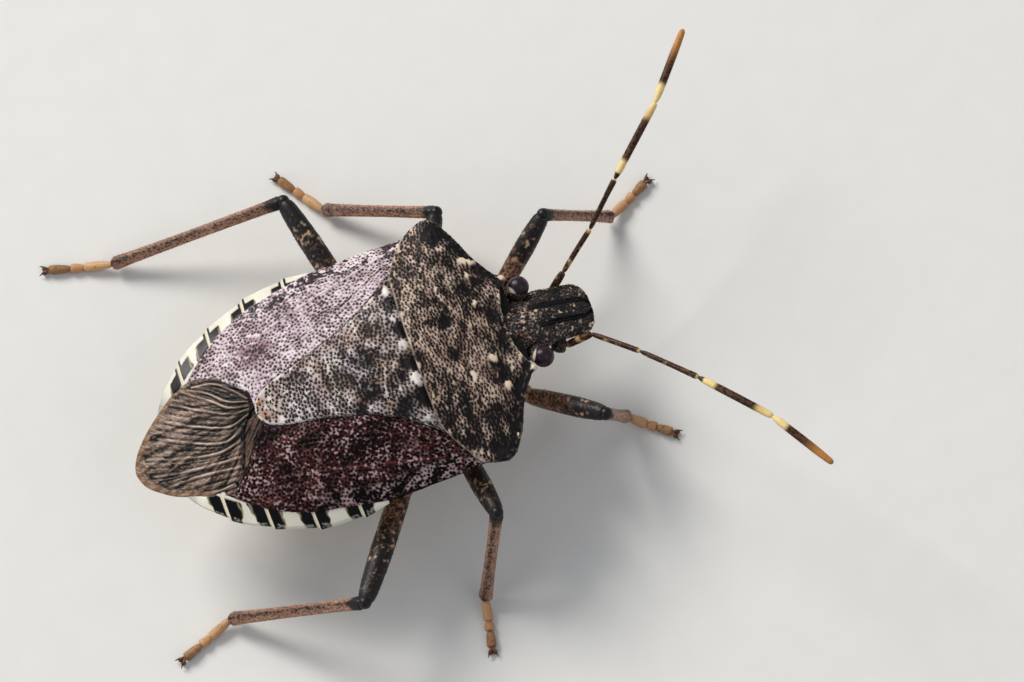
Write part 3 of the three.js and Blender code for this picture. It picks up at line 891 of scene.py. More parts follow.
@dataclass(frozen=True)
class Cuticle:
    """A finish of hard skin, with its colours, gloss and grain."""

    name: str
    ground: Colour = srgb(186, 168, 158)
    second_ground: Colour = srgb(150, 128, 118)
    blush: Colour = srgb(120, 60, 66)
    halo: Colour = srgb(96, 64, 50)
    dark: Colour = srgb(12, 9, 10)
    pit: Colour = srgb(13, 8, 8)
    pale: Colour = srgb(228, 208, 170)
    gloss_low: float = 0.3
    gloss_high: float = 0.5
    coat: float = 0.0
    specular: float = 0.16
    grain: float = 9.0
    relief: float = 0.004

    def material(self) -> bpy.types.Material:
        """This finish as a node material."""
        material, tree, shader = new_finish(
            self.name, coat=self.coat, coat_roughness=0.25, specular=self.specular
        )
        group = tree.nodes.new("ShaderNodeGroup")
        group.node_tree = cuticle_group()
        colours = {
            "Ground": self.ground, "Second ground": self.second_ground, "Blush colour": self.blush,
            "Halo colour": self.halo, "Dark colour": self.dark, "Pit colour": self.pit, "Pale colour": self.pale,
        }
        for name, colour in colours.items():
            group.inputs[name].default_value = (*colour, 1.0)
        group.inputs["Grain"].default_value = self.grain / METRE
        group.inputs["Gloss low"].default_value = self.gloss_low
        group.inputs["Gloss high"].default_value = self.gloss_high
        for name in ("Pit", "Halo", "Dark", "Pale", "Blush"):
            tree.links.new(painted(tree, name.lower()), group.inputs[name])
        relief = {"Distance": self.relief * METRE, "Strength": 0.8, "Height": group.outputs["Height"]}
        wire(
            tree,
            [
                (object_place(tree), group.inputs["Vector"]),
                (group.outputs["Colour"], shader.inputs["Base Color"]),
                (group.outputs["Roughness"], shader.inputs["Roughness"]),
                (added(tree, "ShaderNodeBump", relief).outputs["Normal"], shader.inputs["Normal"]),
            ],
        )
        return material


@dataclass(frozen=True)
class Finishes:
    """Every finish of hard skin on the bug."""

    pronotum: Cuticle = Cuticle(
        "pronotum_cuticle", ground=srgb(210, 190, 176), second_ground=srgb(168, 140, 122), pale=srgb(228, 208, 178),
        blush=srgb(112, 72, 60),
    )
    scutellum: Cuticle = Cuticle(
        "scutellum_cuticle", ground=srgb(202, 196, 202), second_ground=srgb(160, 134, 114), blush=srgb(176, 108, 66),
        halo=srgb(104, 72, 56), pale=srgb(228, 220, 210),
    )
    corium_left: Cuticle = Cuticle(
        "leathery_wing_left", ground=srgb(214, 202, 204), second_ground=srgb(170, 152, 162), halo=srgb(142, 106, 108),
        pit=srgb(38, 18, 24), blush=srgb(104, 58, 76), dark=srgb(40, 26, 38), pale=srgb(230, 216, 214),
        gloss_low=0.25, gloss_high=0.45,
    )
    # The right wing's leathery part: its own darker pigment, with painted shade darkening all its colours, as on the
    # side turned from the light.
    corium_right_painted_shade: Cuticle = Cuticle(
        "leathery_wing_right", ground=srgb(104, 66, 64), second_ground=srgb(60, 26, 23), halo=srgb(36, 10, 8),
        pit=srgb(9, 2, 2), blush=srgb(66, 20, 14), dark=srgb(7, 2, 2), pale=srgb(190, 162, 162),
        gloss_low=0.25, gloss_high=0.45, specular=0.08,
    )
    head: Cuticle = Cuticle(
        "head_cuticle", ground=srgb(164, 138, 122), second_ground=srgb(84, 64, 58), halo=srgb(38, 28, 28),
        pit=srgb(8, 6, 8), dark=srgb(9, 8, 10), pale=srgb(206, 184, 150), gloss_low=0.22, gloss_high=0.4,
        specular=0.3,
    )
    belly: Cuticle = Cuticle(
        "belly_cuticle", ground=srgb(196, 178, 148), second_ground=srgb(166, 140, 108), halo=srgb(140, 112, 84),
        pit=srgb(50, 34, 28),
    )
    margin: Cuticle = Cuticle(
        "side_margin", ground=srgb(228, 223, 208), second_ground=srgb(208, 204, 186), pit=srgb(64, 46, 34),
        halo=srgb(172, 156, 124), blush=srgb(196, 176, 140), dark=srgb(7, 7, 9), pale=srgb(224, 204, 166),
        gloss_low=0.2, gloss_high=0.38,
    )
    leg: Cuticle = Cuticle(
        "leg_cuticle", ground=srgb(188, 148, 116), second_ground=srgb(152, 110, 86), blush=srgb(172, 122, 100),
        halo=srgb(110, 76, 60), pit=srgb(20, 13, 13), dark=srgb(12, 9, 11), pale=srgb(206, 184, 152), grain=8.0,
        specular=0.3,
    )
    foot: Cuticle = Cuticle(
        "foot_cuticle", ground=srgb(196, 150, 104), second_ground=srgb(168, 118, 80), halo=srgb(130, 90, 62),
        pit=srgb(60, 38, 28), dark=srgb(52, 32, 26), pale=srgb(210, 176, 132), grain=9.0,
    )
    feeler: Cuticle = Cuticle(
        "feeler_cuticle", ground=srgb(150, 98, 58), second_ground=srgb(112, 68, 42), halo=srgb(78, 46, 32),
        pit=srgb(10, 7, 7), dark=srgb(20, 11, 10), pale=srgb(232, 206, 140), blush=srgb(190, 130, 66), grain=12.0,
    )


FINISHES = Finishes()


@dataclass(frozen=True)
class Glaze:
    """The finish of the faceted eyes and of the simple eyes."""

    name: str = "eye_glaze"
    deep: Colour = srgb(16, 8, 15)
    warm: Colour = srgb(52, 28, 40)
    rind: Colour = srgb(206, 198, 186)
    roughness: float = 0.3

    def material(self) -> bpy.types.Material:
        """This finish as a node material."""
        material, tree, shader = new_finish(self.name, coat=0.3, coat_roughness=0.08, specular=0.15)
        place = object_place(tree)
        cloud = speckle(tree, place, 3.0 / METRE, 2.0)
        fine = speckle(tree, place, 40.0 / METRE, 2.0)
        colour = mixed(tree, reckoned(tree, "MULTIPLY_ADD", cloud, 2.4, -0.8, clamp=True), self.deep, self.warm)
        colour = mixed(tree, painted(tree, "pale"), colour, self.rind)
        rough = reckoned(tree, "MULTIPLY_ADD", fine, 0.12, self.roughness)
        wire(tree, [(colour, shader.inputs["Base Color"]), (rough, shader.inputs["Roughness"])])
        return material


@dataclass(frozen=True)
class Horn:
    """The amber horn of claws and hairs."""

    name: str = "claw_horn"
    base: Colour = srgb(120, 72, 36)
    tip: Colour = srgb(40, 22, 16)
    roughness: float = 0.3

    def material(self) -> bpy.types.Material:
        """This finish as a node material."""
        material, tree, shader = new_finish(self.name)
        place = object_place(tree)
        cloud = speckle(tree, place, 8.0 / METRE, 3.0)
        share = reckoned(tree, "MULTIPLY_ADD", cloud, 0.5, painted(tree, "dark"), clamp=True)
        colour = mixed(tree, share, self.base, self.tip)
        rough = reckoned(tree, "MULTIPLY_ADD", cloud, 0.25, self.roughness)
        wire(tree, [(colour, shader.inputs["Base Color"]), (rough, shader.inputs["Roughness"])])
        return material


@dataclass(frozen=True)
class Film:
    """The bronze film of the hind part of a wing. Its "dark" mark holds its spots and painted shade in the grooves
    beside its veins, in its folds and in its pleat troughs; its "pale" mark holds its paler veins with a painted
    highlight on them and on its pleat crests.
    """

    name: str = "wing_film"
    ground: Colour = srgb(128, 100, 84)
    second_ground: Colour = srgb(88, 70, 50)
    # groove is the colour of the "dark" mark, partly the film's own spots and partly painted shade; ridge is the
    # colour of the "pale" mark, partly its own paler veins and partly a painted highlight.
    groove: Colour = srgb(12, 6, 6)
    ridge: Colour = srgb(208, 182, 164)
    edge: Colour = srgb(152, 118, 90)
    relief: float = 0.004

    def material(self) -> bpy.types.Material:
        """This finish as a node material."""
        material, tree, shader = new_finish(self.name, coat=0.1, coat_roughness=0.16, specular=0.18)
        place = object_place(tree)
        broad = speckle(tree, place, 1.6 / METRE, 2.0)
        fine = speckle(tree, place, 30.0 / METRE, 3.0)
        patchy = reckoned(tree, "MULTIPLY_ADD", broad, 3.0, -1.0, clamp=True)
        colour = mixed(tree, patchy, self.ground, self.second_ground)
        # The "pale" tint carries painted highlights and the "dark" tint painted shade, besides the film's own veins
        # and spots.
        for mark, tint in (("blush", self.edge), ("pale", self.ridge), ("dark", self.groove)):
            colour = mixed(tree, painted(tree, mark), colour, tint)
        colour = mixed(tree, reckoned(tree, "MULTIPLY_ADD", fine, 0.5, -0.15, clamp=True), colour, self.groove)
        rough = reckoned(tree, "MULTIPLY_ADD", fine, 0.3, 0.28)
        bump = added(tree, "ShaderNodeBump", {"Distance": self.relief * METRE, "Height": fine})
        wire(
            tree,
            [
                (bump.outputs["Normal"], shader.inputs["Normal"]),
                (colour, shader.inputs["Base Color"]),
                (rough, shader.inputs["Roughness"]),
            ],
        )
        return material


# Sub-assemblies


class Side(Enum):
    """The two sides of the bug."""

    LEFT = 1
    RIGHT = -1

    @property
    def word(self) -> str:
        """The side as the nodes' names have it."""
        return self.name.lower()


class Hues:
    """Every finish as a material, made once."""

    def __init__(self) -> None:
        """Make the materials."""
        self.pronotum = FINISHES.pronotum.material()
        self.scutellum = FINISHES.scutellum.material()
        self.corium = {Side.LEFT: FINISHES.corium_left.material(), Side.RIGHT: FINISHES.corium_right_painted_shade.material()}
        self.head = FINISHES.head.material()
        self.belly = FINISHES.belly.material()
        self.margin = FINISHES.margin.material()
        self.leg = FINISHES.leg.material()
        self.foot = FINISHES.foot.material()
        self.feeler = FINISHES.feeler.material()
        self.film = Film().material()
        self.eye = Glaze().material()
        self.ocellus = Glaze("simple_eye_glaze", srgb(44, 8, 7), srgb(112, 34, 26)).material()
        self.horn = Horn().material()


def set_down(piece: bpy.types.Object, slot: str, *nodes: str) -> bpy.types.Object:
    """Let a piece ride on the bug above the floor and stand for its nodes."""
    places = np.empty(len(piece.data.vertices) * 3)
    piece.data.vertices.foreach_get("co", places)
    places[2::3] = np.maximum(places[2::3], 0.0)
    piece.data.vertices.foreach_set("co", places)
    piece.data.update()
    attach(piece, "root")
    if nodes:
        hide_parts(*nodes)
    log.info("%s: %d faces", piece.name, len(piece.data.polygons))
    return piece


def paint(shell: Shell, **marks: Array | float) -> Shell:
    """A shell with painted values, each a number or one value a vertex."""
    for name, values in marks.items():
        shell.marks[name] = np.broadcast_to(np.asarray(values, float), (len(shell.points),)).copy()
    return shell


def rim_of(grid: Array) -> Array:
    """The places round the rim of a grid."""
    return np.concatenate([grid[0], grid[-1], grid[:, 0], grid[:, -1]])


@dataclass(frozen=True)
class Pronotum:
    """The fore plate of the back, from its (Y, X) edges."""

    front: Sequence[Station] = (
        (0, 2.62), (0.6, 2.68), (1.15, 2.82), (1.5, 3.04), (1.62, 3.12), (1.82, 2.86), (2.18, 2.6),
        (2.72, 2.3), (3.26, 2.08), (3.72, 1.86), (4.22, 1.5), (4.34, 1.3),
    )
    rear: Sequence[Station] = (
        (0, -0.45), (1.2, -0.45), (2.6, -0.42), (3.02, -0.25), (3.62, 0.1), (4.05, 0.42),
        (4.28, 0.95), (4.34, 1.2),
    )
    half_width: float = 4.34
    raised: float = 0.1
    thickness: float = 0.16
    rows: int = 150
    columns: int = 400
    calluses: tuple[Blotch, ...] = (
        Blotch(2.09, 2.5, 0.13, 0.27, turn=58), Blotch(2.02, 1.98, 0.08, 0.12), Blotch(1.93, 0.99, 0.1, 0.13),
        Blotch(1.92, -1.03, 0.12, 0.14), Blotch(2.08, -2.01, 0.1, 0.16), Blotch(2.81, -1.08, 0.08, 0.1),
        Blotch(2.74, 1.0, 0.08, 0.1), Blotch(3.02, 1.62, 0.12, 0.1), Blotch(3.02, -1.62, 0.12, 0.1),
        Blotch(1.15, -1.5, 0.1, 0.2, 0.8),
    )
    patches: tuple[Blotch, ...] = (
        Blotch(0.88, 0.53, 0.19, 0.2), Blotch(0.8, -0.6, 0.2, 0.22, 0.9), Blotch(1.95, 1.5, 0.3, 0.42, 0.9),
        Blotch(1.95, -1.5, 0.3, 0.42, 0.9), Blotch(2.45, 0.5, 0.22, 0.5, 0.8), Blotch(2.4, -0.6, 0.22, 0.5, 0.9),
        Blotch(2.62, 2.0, 0.22, 0.4, 1.0, 60), Blotch(2.35, 2.55, 0.14, 0.25, 0.9, 60),
        Blotch(2.5, -2.1, 0.25, 0.4, 1.0, -60), Blotch(2.1, -2.9, 0.2, 0.4, 0.8, -60),
        Blotch(1.5, 3.75, 0.45, 0.42, 1.0), Blotch(1.3, -4.0, 0.45, 0.5, 1.0), Blotch(0.55, -2.4, 0.2, 0.3, 0.8),
        Blotch(0.5, -3.4, 0.3, 0.35, 0.6), Blotch(1.5, -2.9, 0.2, 0.4, 0.5), Blotch(2.9, 1.45, 0.15, 0.2, 0.9),
        Blotch(2.8, -1.5, 0.15, 0.2, 0.9), Blotch(1.3, 2.5, 0.3, 0.4, 0.3),
    )
    pits: Punctures = Punctures(spacing=0.105, radius=0.053, depth=0.024, stretch=0.6, seed=3)

    def build(self, hues: Hues) -> bpy.types.Object:
        """Build and dress the plate."""
        share = np.linspace(-1, 1, self.columns)
        across = self.half_width * (0.6 * share + 0.4 * np.sin(share * np.pi / 2))
        front, rear = along(self.front)(np.abs(across)), along(self.rear)(np.abs(across))
        way = np.linspace(0, 1, self.rows)[:, None]
        x = rear + (front - rear) * way
        y = np.broadcast_to(across, x.shape)
        top = np.stack([x, y, BACK.height(x, y) + self.raised], axis=-1)
        shell = plate(top, self.thickness)
        points = shell.points
        edge = rim_distance(points, rim_of(top))
        dark = most_of(self.patches, points)
        scars = most_of([Blotch(1.95, 1.5, 0.34, 0.46), Blotch(1.95, -1.5, 0.34, 0.46)], points)
        scars *= smooth(0.0, 0.25, rolling(points, 0.2, 11))
        dark *= 1 - 0.8 * scars
        pale = most_of(self.calluses, points)
        side_edge = smooth(0.16, 0.05, edge) * smooth(0.9, 1.6, points[:, 0]) * smooth(1.4, 1.9, np.abs(points[:, 1]))
        middle = Blotch(2.35, 0.0, 0.5, 0.05, 0.8).mask(points)
        front_line = smooth(0.09, 0.03, edge) * smooth(1.7, 1.5, np.abs(points[:, 1]))
        front_line *= smooth(1.5, 2.4, points[:, 0])
        rear_line = smooth(0.12, 0.05, edge) * smooth(0.6, 0.2, points[:, 0])
        wrinkles = rolling(points * (1.0, 0.3, 1.0), 0.11, 5) * 0.016
        bumps = rolling(points, 0.9, 8) * 0.03
        crenels = 0.5 + 0.5 * np.sin(points[:, 1] * 26 + 3 * rolling(points, 0.5, 10))
        height = (
            wrinkles * (1 - pale) + bumps - 0.05 * dark * smooth(0.1, 0.4, edge) + 0.035 * pale
            + side_edge * (0.02 + 0.05 * crenels) + 0.015 * front_line - rounded_drop(edge, 0.09)
        )
        skirt = skirt_of(points, top)
        height[skirt] = 0.0
        shell.raised(UP, height)
        broken = smooth(-0.15, 0.3, rolling(points, 0.16, 7))
        flank = smooth(0.42, 0.2, edge) * smooth(1.2, 1.6, points[:, 0]) * smooth(1.6, 2.0, np.abs(points[:, 1]))
        flank *= smooth(-0.5, 0.1, rolling(points, 0.3, 12))
        right_side = smooth(-2.0, -3.0, points[:, 1])
        rims = np.maximum((0.5 + 0.5 * right_side) * side_edge * crenels * broken, 0.72 * front_line * broken)
        ridges = 0.45 * smooth(0.15, 0.5, rolling(points * (1.0, 0.35, 1.0), 0.1, 13)) * (1 - dark) * (1 - flank)
        callus = pale
        pale = np.where(skirt, 0.0, np.maximum.reduce([pale, rims, 0.6 * middle * broken, ridges]))
        worms = rolling(points * (1.0, 0.5, 1.0), 0.17, 4)
        paint(
            shell, density=(1 - smooth(0.2, 0.6, callus)) * (1 - rear_line),
            swell=np.maximum(
                1.04 + 0.5 * dark + 0.3 * flank + 0.6 * worms + 0.25 * rolling(points, 0.9, 9)
                # Larger pits towards the right side: painted shade on the side turned from the light.
                + 0.16 * smooth(-1.2, -3.0, points[:, 1]) - 0.08 * smooth(2.0, 1.0, np.abs(points[:, 1])), 0.72,
            ),
            dark=np.where(skirt, RIM_SHADE, np.maximum.reduce(
                [1.25 * dark, 0.6 * rear_line, 1.2 * side_edge * (1 - broken), flank]
            )),
            pale=pale, blush=scars,
        )
        shell.marks["dark"] *= 1 - 0.8 * smooth(0.2, 0.5, callus)
        piece = make_piece("pronotum_plate", shell)
        self.pits.sink_into(piece, hues.pronotum)
        return set_down(piece, "pronotum_shell", "pronotum")


@dataclass(frozen=True)
class Scutellum:
    """The long three-sided plate between the wings."""

    half_width: Sequence[Station] = (
        (-5.95, 0.02), (-5.93, 0.13), (-5.87, 0.28), (-5.62, 0.56), (-5.1, 0.78), (-4.3, 0.98), (-3.4, 1.22),
        (-2.35, 1.57), (-1.3, 2.13), (-0.5, 2.72), (-0.2, 2.9),
    )
    tip: float = -5.95
    length: float = 5.75
    raised: float = 0.09
    thickness: float = 0.16
    rows: int = 240
    columns: int = 220
    calluses: tuple[Blotch, ...] = (
        Blotch(-0.62, 2.2, 0.12, 0.2), Blotch(-0.68, 1.19, 0.1, 0.16, 0.5), Blotch(-0.66, 0.22, 0.16, 0.17, 0.6, 20),
        Blotch(-0.6, -1.0, 0.17, 0.24), Blotch(-0.66, -2.25, 0.11, 0.11, 0.65),
    )
    patches: tuple[Blotch, ...] = (
        Blotch(-0.6, 1.75, 0.25, 0.32), Blotch(-0.55, 0.7, 0.25, 0.3), Blotch(-0.65, -0.4, 0.3, 0.32),
        Blotch(-0.55, -1.65, 0.3, 0.35), Blotch(-1.95, 0.2, 0.4, 0.35, 0.75), Blotch(-2.2, -0.8, 0.35, 0.4, 0.8),
        Blotch(-1.15, -0.75, 0.3, 0.3, 0.7), Blotch(-2.95, -0.15, 0.5, 0.4, 0.45), Blotch(-1.5, 1.1, 0.3, 0.3, 0.45),
        Blotch(-1.3, -1.75, 0.5, 0.25, 0.9, 25), Blotch(-0.9, 2.3, 0.35, 0.12, 0.7),
        Blotch(-2.6, -1.2, 0.5, 0.2, 0.7, 20), Blotch(-4.3, 0.5, 0.4, 0.2, 0.35),
    )
    pits: Punctures = Punctures(spacing=0.11, radius=0.049, depth=0.022, stretch=0.74, seed=17)

    def build(self, hues: Hues) -> bpy.types.Object:
        """Build and dress the plate."""
        share = np.linspace(0, 1, self.rows)
        x = (self.tip + self.length * (0.6 * share + 0.4 * share**2))[:, None]
        y = along(self.half_width)(x) * np.linspace(-1, 1, self.columns)
        x = np.broadcast_to(x, y.shape)
        top = np.stack([x, y, BACK.height(x, y) + self.raised], axis=-1)
        shell = plate(top, self.thickness)
        points = shell.points
        edge = rim_distance(points, rim_of(top))
        dark = most_of(self.patches, points)
        pale = most_of(self.calluses, points)
        tip = smooth(-4.6, -5.6, points[:, 0])
        margin = smooth(0.1, 0.03, edge) * smooth(-3.2, -5.2, points[:, 0])
        seam = smooth(0.08, 0.03, edge) * smooth(-5.2, -4.0, points[:, 0])
        wrinkles = rolling(points * (1.0, 0.45, 1.0), 0.13, 6) * 0.014 * smooth(-5.5, -2.0, points[:, 0])
        height = (
            wrinkles + rolling(points, 0.8, 9) * 0.025 - 0.04 * dark + 0.045 * pale + 0.02 * margin
            - rounded_drop(edge, 0.12) - 0.1 * smooth(-0.62, -0.42, points[:, 0])
        )
        skirt = skirt_of(points, top)
        height[skirt] = 0.0
        shell.raised(UP, height)
        ridges = 0.6 * smooth(0.15, 0.5, rolling(points * (1.0, 0.4, 1.0), 0.11, 15)) * (1 - dark)
        worms = rolling(points * (1.0, 0.5, 1.0), 0.17, 14)
        blush = most_of([Blotch(-5.75, 0.3, 0.15, 0.12, 0.8), Blotch(-5.7, -0.25, 0.15, 0.15, 0.5)], points)
        paint(
            shell, density=(1 - 0.35 * tip) * (1 - smooth(0.2, 0.6, pale)) * (1 - 0.7 * margin),
            swell=np.maximum(
                1.1 + 0.5 * dark - 0.2 * tip + (0.55 - 0.25 * smooth(-3.0, -4.4, points[:, 0])) * worms
                # Smaller pits towards the left side: painted light, making the side facing the light paler.
                - 0.2 * smooth(-0.4, 1.6, points[:, 1]), 0.72,
            ), dark=np.where(skirt, RIM_SHADE, np.maximum(1.2 * dark, 0.7 * seam)),
            pale=np.where(skirt, 0.0, np.maximum.reduce([pale, 0.7 * margin, ridges])), blush=blush,
        )
        piece = make_piece("scutellum_plate", shell)
        self.pits.sink_into(piece, hues.scutellum)
        return set_down(piece, "scutellum_shell", "scutellum")


COSTAL_EDGE = (
    (0.6, 4.06), (-0.5, 4.11), (-1.5, 4.12), (-2.75, 4.12), (-3.9, 3.92), (-5.07, 3.68), (-6.32, 3.2),
    (-7.2, 2.58), (-7.82, 2.04),
)
FAN_VEINS = (
    ((-6.08, 0.59), (-6.56, 1.18), (-7.07, 1.59), (-7.73, 1.75)),
    ((-6.08, 0.47), (-6.76, 0.8), (-7.27, 1.32), (-7.89, 1.74)),
    ((-6.09, 0.32), (-6.76, 0.57), (-7.28, 1.06), (-8.17, 1.82)),
    ((-6.12, 0.22), (-6.83, 0.37), (-7.65, 0.87), (-8.6, 1.54)),
    ((-6.21, 0.07), (-6.97, -0.04), (-8.11, 0.51), (-9.1, 1.18)),
    ((-6.57, -0.32), (-7.37, -0.44), (-8.57, 0.15), (-9.51, 0.74)),
    ((-6.75, -0.63), (-7.57, -0.7), (-8.77, -0.35), (-9.94, 0.15)),
    ((-6.88, -1.14), (-8.03, -0.96), (-9.26, -0.68), (-9.92, -0.48)),
    ((-7.02, -1.43), (-8.46, -1.13), (-9.57, -1.04)),
    ((-7.4, -1.88), (-7.95, -1.84), (-8.66, -1.73)),
)


@dataclass(frozen=True)
class Wing:
    """The leathery fore part of a wing and the film behind it."""

    side: Side
    apical_edge: Sequence[Station]
    blushes: tuple[Blotch, ...]
    patches: tuple[Blotch, ...]
    crowding: float = 1.1
    clotting: float = -0.06
    rows: int = 350
    columns: int = 125
    span: Station = (0.6, -7.82)
    film_thickness: float = 0.03
    fan_root: Station = (-5.4, 0.3)
    main_vein: Sequence[Station] = ((-0.4, 3.62), (-2.2, 3.2), (-4.2, 2.72), (-6.1, 2.2))
    claval_line: Sequence[Station] = ((-0.35, 3.25), (-2, 2.4), (-3.6, 1.85), (-5, 1.5))
    thickness: float = 0.1
    film_spots: tuple[Blotch, ...] = (
        Blotch(-9.41, 0.74, 0.2, 0.08), Blotch(-8.13, 0.63, 0.24, 0.06), Blotch(-8.48, -0.12, 0.24, 0.06),
        Blotch(-9.18, -0.39, 0.16, 0.06, 1, 30),
    )

    def build_leathery(self, hues: Hues) -> bpy.types.Object:
        """Build and dress the leathery part."""
        scutellum = along(Scutellum().half_width)
        apical = along([(x, abs(y)) for x, y in self.apical_edge])
        x = np.linspace(*self.span, self.rows)[:, None]
        tucked = np.maximum(scutellum(x) - 0.25, 0.05)
        inner = np.where(x > self.apical_edge[0][0], tucked, apical(x))
        outer = along(COSTAL_EDGE)(x)
        y = inner + (outer - inner) * np.linspace(0, 1, self.columns)
        x = np.broadcast_to(x, y.shape)
        top = np.stack([x, y * self.side.value, BACK.height(x, y)], axis=-1)
        shell = plate(top, self.thickness)
        points = shell.points
        plan = points * (1, self.side.value, 1)
        edge = rim_distance(points, rim_of(top))
        vein, way = to_line(plan, self.main_vein)
        clavus, _ = to_line(plan, self.claval_line)
        under = smooth(0.06, -0.12, plan[:, 1] - scutellum(plan[:, 0])) * smooth(-5.95, -5.7, plan[:, 0])
        vein_ridge = bell(vein, 0.05) * smooth(1.0, 0.7, way)
        claval_ridge = bell(clavus - 0.06, 0.05) * 0.6 - bell(clavus, 0.03)
        dark = most_of(self.patches, points)
        height = (
            0.05 * vein_ridge + 0.03 * claval_ridge + rolling(points, 0.7, 21) * 0.02
            + rolling(points, 0.14, 22) * 0.008 - rounded_drop(edge, 0.08) - 0.16 * under
            - 0.12 * smooth(-0.62, -0.4, points[:, 0])
        )
        skirt = skirt_of(points, top)
        height[skirt] = -0.16 * (under[skirt] > 0.5) - 0.14 * smooth(-0.7, -0.4, points[skirt, 0])
        shell.raised(UP, height)
        inside = along(COSTAL_EDGE)(plan[:, 0]) - plan[:, 1]
        strip = smooth(0.6, 0.42, inside) * smooth(-5.4, -3.6, plan[:, 0])
        clots = smooth(0.0, 0.12, rolling(points, 0.2, 28) + self.clotting)
        clots *= smooth(0.7, 0.45, inside) * smooth(-6.4, -4.6, plan[:, 0])
        strip *= smooth(-0.15, 0.3, rolling(points, 0.3, 27) + 0.25) * (1 - clots)
        seam = bell(clavus, 0.035)
        ridge_tint = 0.5 * vein_ridge + 0.6 * np.clip(claval_ridge, 0, 1)
        blush = most_of(self.blushes, points)
        if self.side is Side.LEFT:
            worms = 0.6 * smooth(0.15, 0.5, rolling(points, 0.095, 29)) * (1 - dark)
        else:
            worms = 0.75 * smooth(0.08, 0.4, rolling(points, 0.07, 29)) * (1 - dark)
            worms *= 0.35 + 0.65 * smooth(-0.3, 0.2, rolling(points, 0.45, 26))
            blush = np.maximum(blush, 1.8 * ridge_tint)
            ridge_tint = np.zeros_like(ridge_tint)
        paint(
            shell, density=1 - 0.8 * vein_ridge,
            swell=np.maximum(
                self.crowding + 0.5 * dark + 0.45 * rolling(points, 0.16, 24) + 0.3 * rolling(points, 0.7, 25)
                + 0.3 * clots, 0.7,
            ),
            dark=np.where(skirt, RIM_SHADE, np.maximum.reduce([dark, 1.3 * clots, 0.7 * seam])),
            pale=np.where(skirt, 0.0, np.maximum.reduce([ridge_tint, worms, 0.75 * strip])),
            blush=np.minimum(blush, 1) * (1 - strip),
        )
        piece = make_piece(f"leathery_wing_{self.side.word}", shell)
        Punctures(spacing=0.112, radius=0.044, depth=0.018, seed=30 + self.side.value).sink_into(
            piece, hues.corium[self.side]
        )
        return set_down(piece, "wing", f"wing_{self.side.word}")

    def build_film(
        self, hues: Hues, inner: Sequence[Station], outer: Sequence[Station], sunk: float
    ) -> bpy.types.Object:
        """Build and dress the film behind the leathery part.

        Args:
            hues: The materials.
            inner: Plan edge on the bug's right.
            outer: Plan edge on the bug's left.
            sunk: How far the film lies under the back's form.

        Returns:
            The piece.
        """
        share = np.linspace(0, 1, 230)
        front, rear = max(x for x, _ in outer), min(x for x, _ in outer)
        x = (rear + (front - rear) * (0.55 * share + 0.45 * share**2))[:, None]
        right, left = along(inner)(x), along(outer)(x)
        y = right + (left - right) * np.linspace(0, 1, 170)
        x = np.broadcast_to(x, y.shape)
        top = np.stack([x, y, BACK.height(x, y) - sunk], axis=-1)
        shell = rings(np.concatenate([top, top[:, ::-1] - (0, 0, self.film_thickness)], axis=1))
        points = shell.points
        edge = rim_distance(points, rim_of(top))
        lines = [evened(bent(line)) for line in FAN_VEINS]
        vein, fold = np.full(len(points), 1e9), np.full(len(points), 1e9)
        for line in lines:
            vein = np.minimum(vein, to_line(points, line)[0])
        for line, after in zip(lines, lines[1:]):
            fold = np.minimum(fold, to_line(points, (line + after) / 2)[0])
        fading = 1 - 0.65 * smooth(-7.6, -9.5, points[:, 0])
        patchy = smooth(-0.35, 0.35, rolling(points, 0.3, 45))
        ridge = bell(vein, 0.036) * fading
        groove = np.maximum(bell(vein - 0.08, 0.04), 0.9 * bell(fold, 0.045))
        groove *= (0.5 + 0.5 * patchy) * (0.45 + 0.55 * fading)
        back, aside = points[:, 0] - self.fan_root[0], points[:, 1] - self.fan_root[1]
        reach = np.hypot(back, aside)
        fan = np.arctan2(aside, back) % (2 * np.pi) * 4.0
        pleats = rolling(np.stack([fan, reach * 0.2, np.zeros_like(fan)], axis=1), 0.13, 41)
        wrinkles = rolling(np.stack([fan + 0.8 * reach, 0.4 * (reach - fan), np.zeros_like(fan)], axis=1), 0.05, 42)
        striae = 0.5 + 0.5 * np.sin(fan * 22 + 2 * rolling(points, 0.3, 43))
        border = smooth(0.24, 0.1, edge) * smooth(-7.7, -8.5, points[:, 0])
        roll = smooth(0.2, 0.06, edge) * smooth(-8.1, -7.5, points[:, 0])
        base = smooth(-7.0, -6.3, points[:, 0])
        height = (
            (0.045 * ridge - 0.04 * groove + 0.03 * pleats * (1 - ridge)) * (1 - border) + 0.01 * wrinkles
            + 0.008 * striae * border + 0.02 * roll - rounded_drop(edge, 0.03)
        )
        shell.raised(UP, height)
        # Painted shade: dark in the grooves beside the veins, in the folds and in the troughs of the pleats, added to
        # the wrinkle marks, the darker base, the rolled edge and the spots. Painted highlight: pale on the vein
        # ridges, over their own paler colour, on the pleat crests and in the wrinkle marks.
        shade = 1.05 * groove + 0.65 * smooth(0.0, 0.6, -pleats) + 0.35 * smooth(0.0, 0.6, wrinkles) + 0.4 * base
        shade += 0.5 * roll + most_of(self.film_spots, points)
        light = (0.2 + 0.75 * patchy) * ridge + 0.35 * smooth(0.1, 0.8, pleats) + 0.3 * smooth(0.1, 0.6, -wrinkles)
        paint(
            shell, dark=np.clip(shade * (1 - 0.85 * ridge) * (1 - 0.8 * border) + 0.45 * border * (1 - striae), 0, 1),
            pale=np.clip(light * (1 - border) * (1 - 0.6 * base), 0, 1), blush=border,
        )
        piece = make_piece(f"wing_film_{self.side.word}", shell)
        piece.data.materials.append(hues.film)
        return set_down(piece, "wing", f"wing_{self.side.word}")


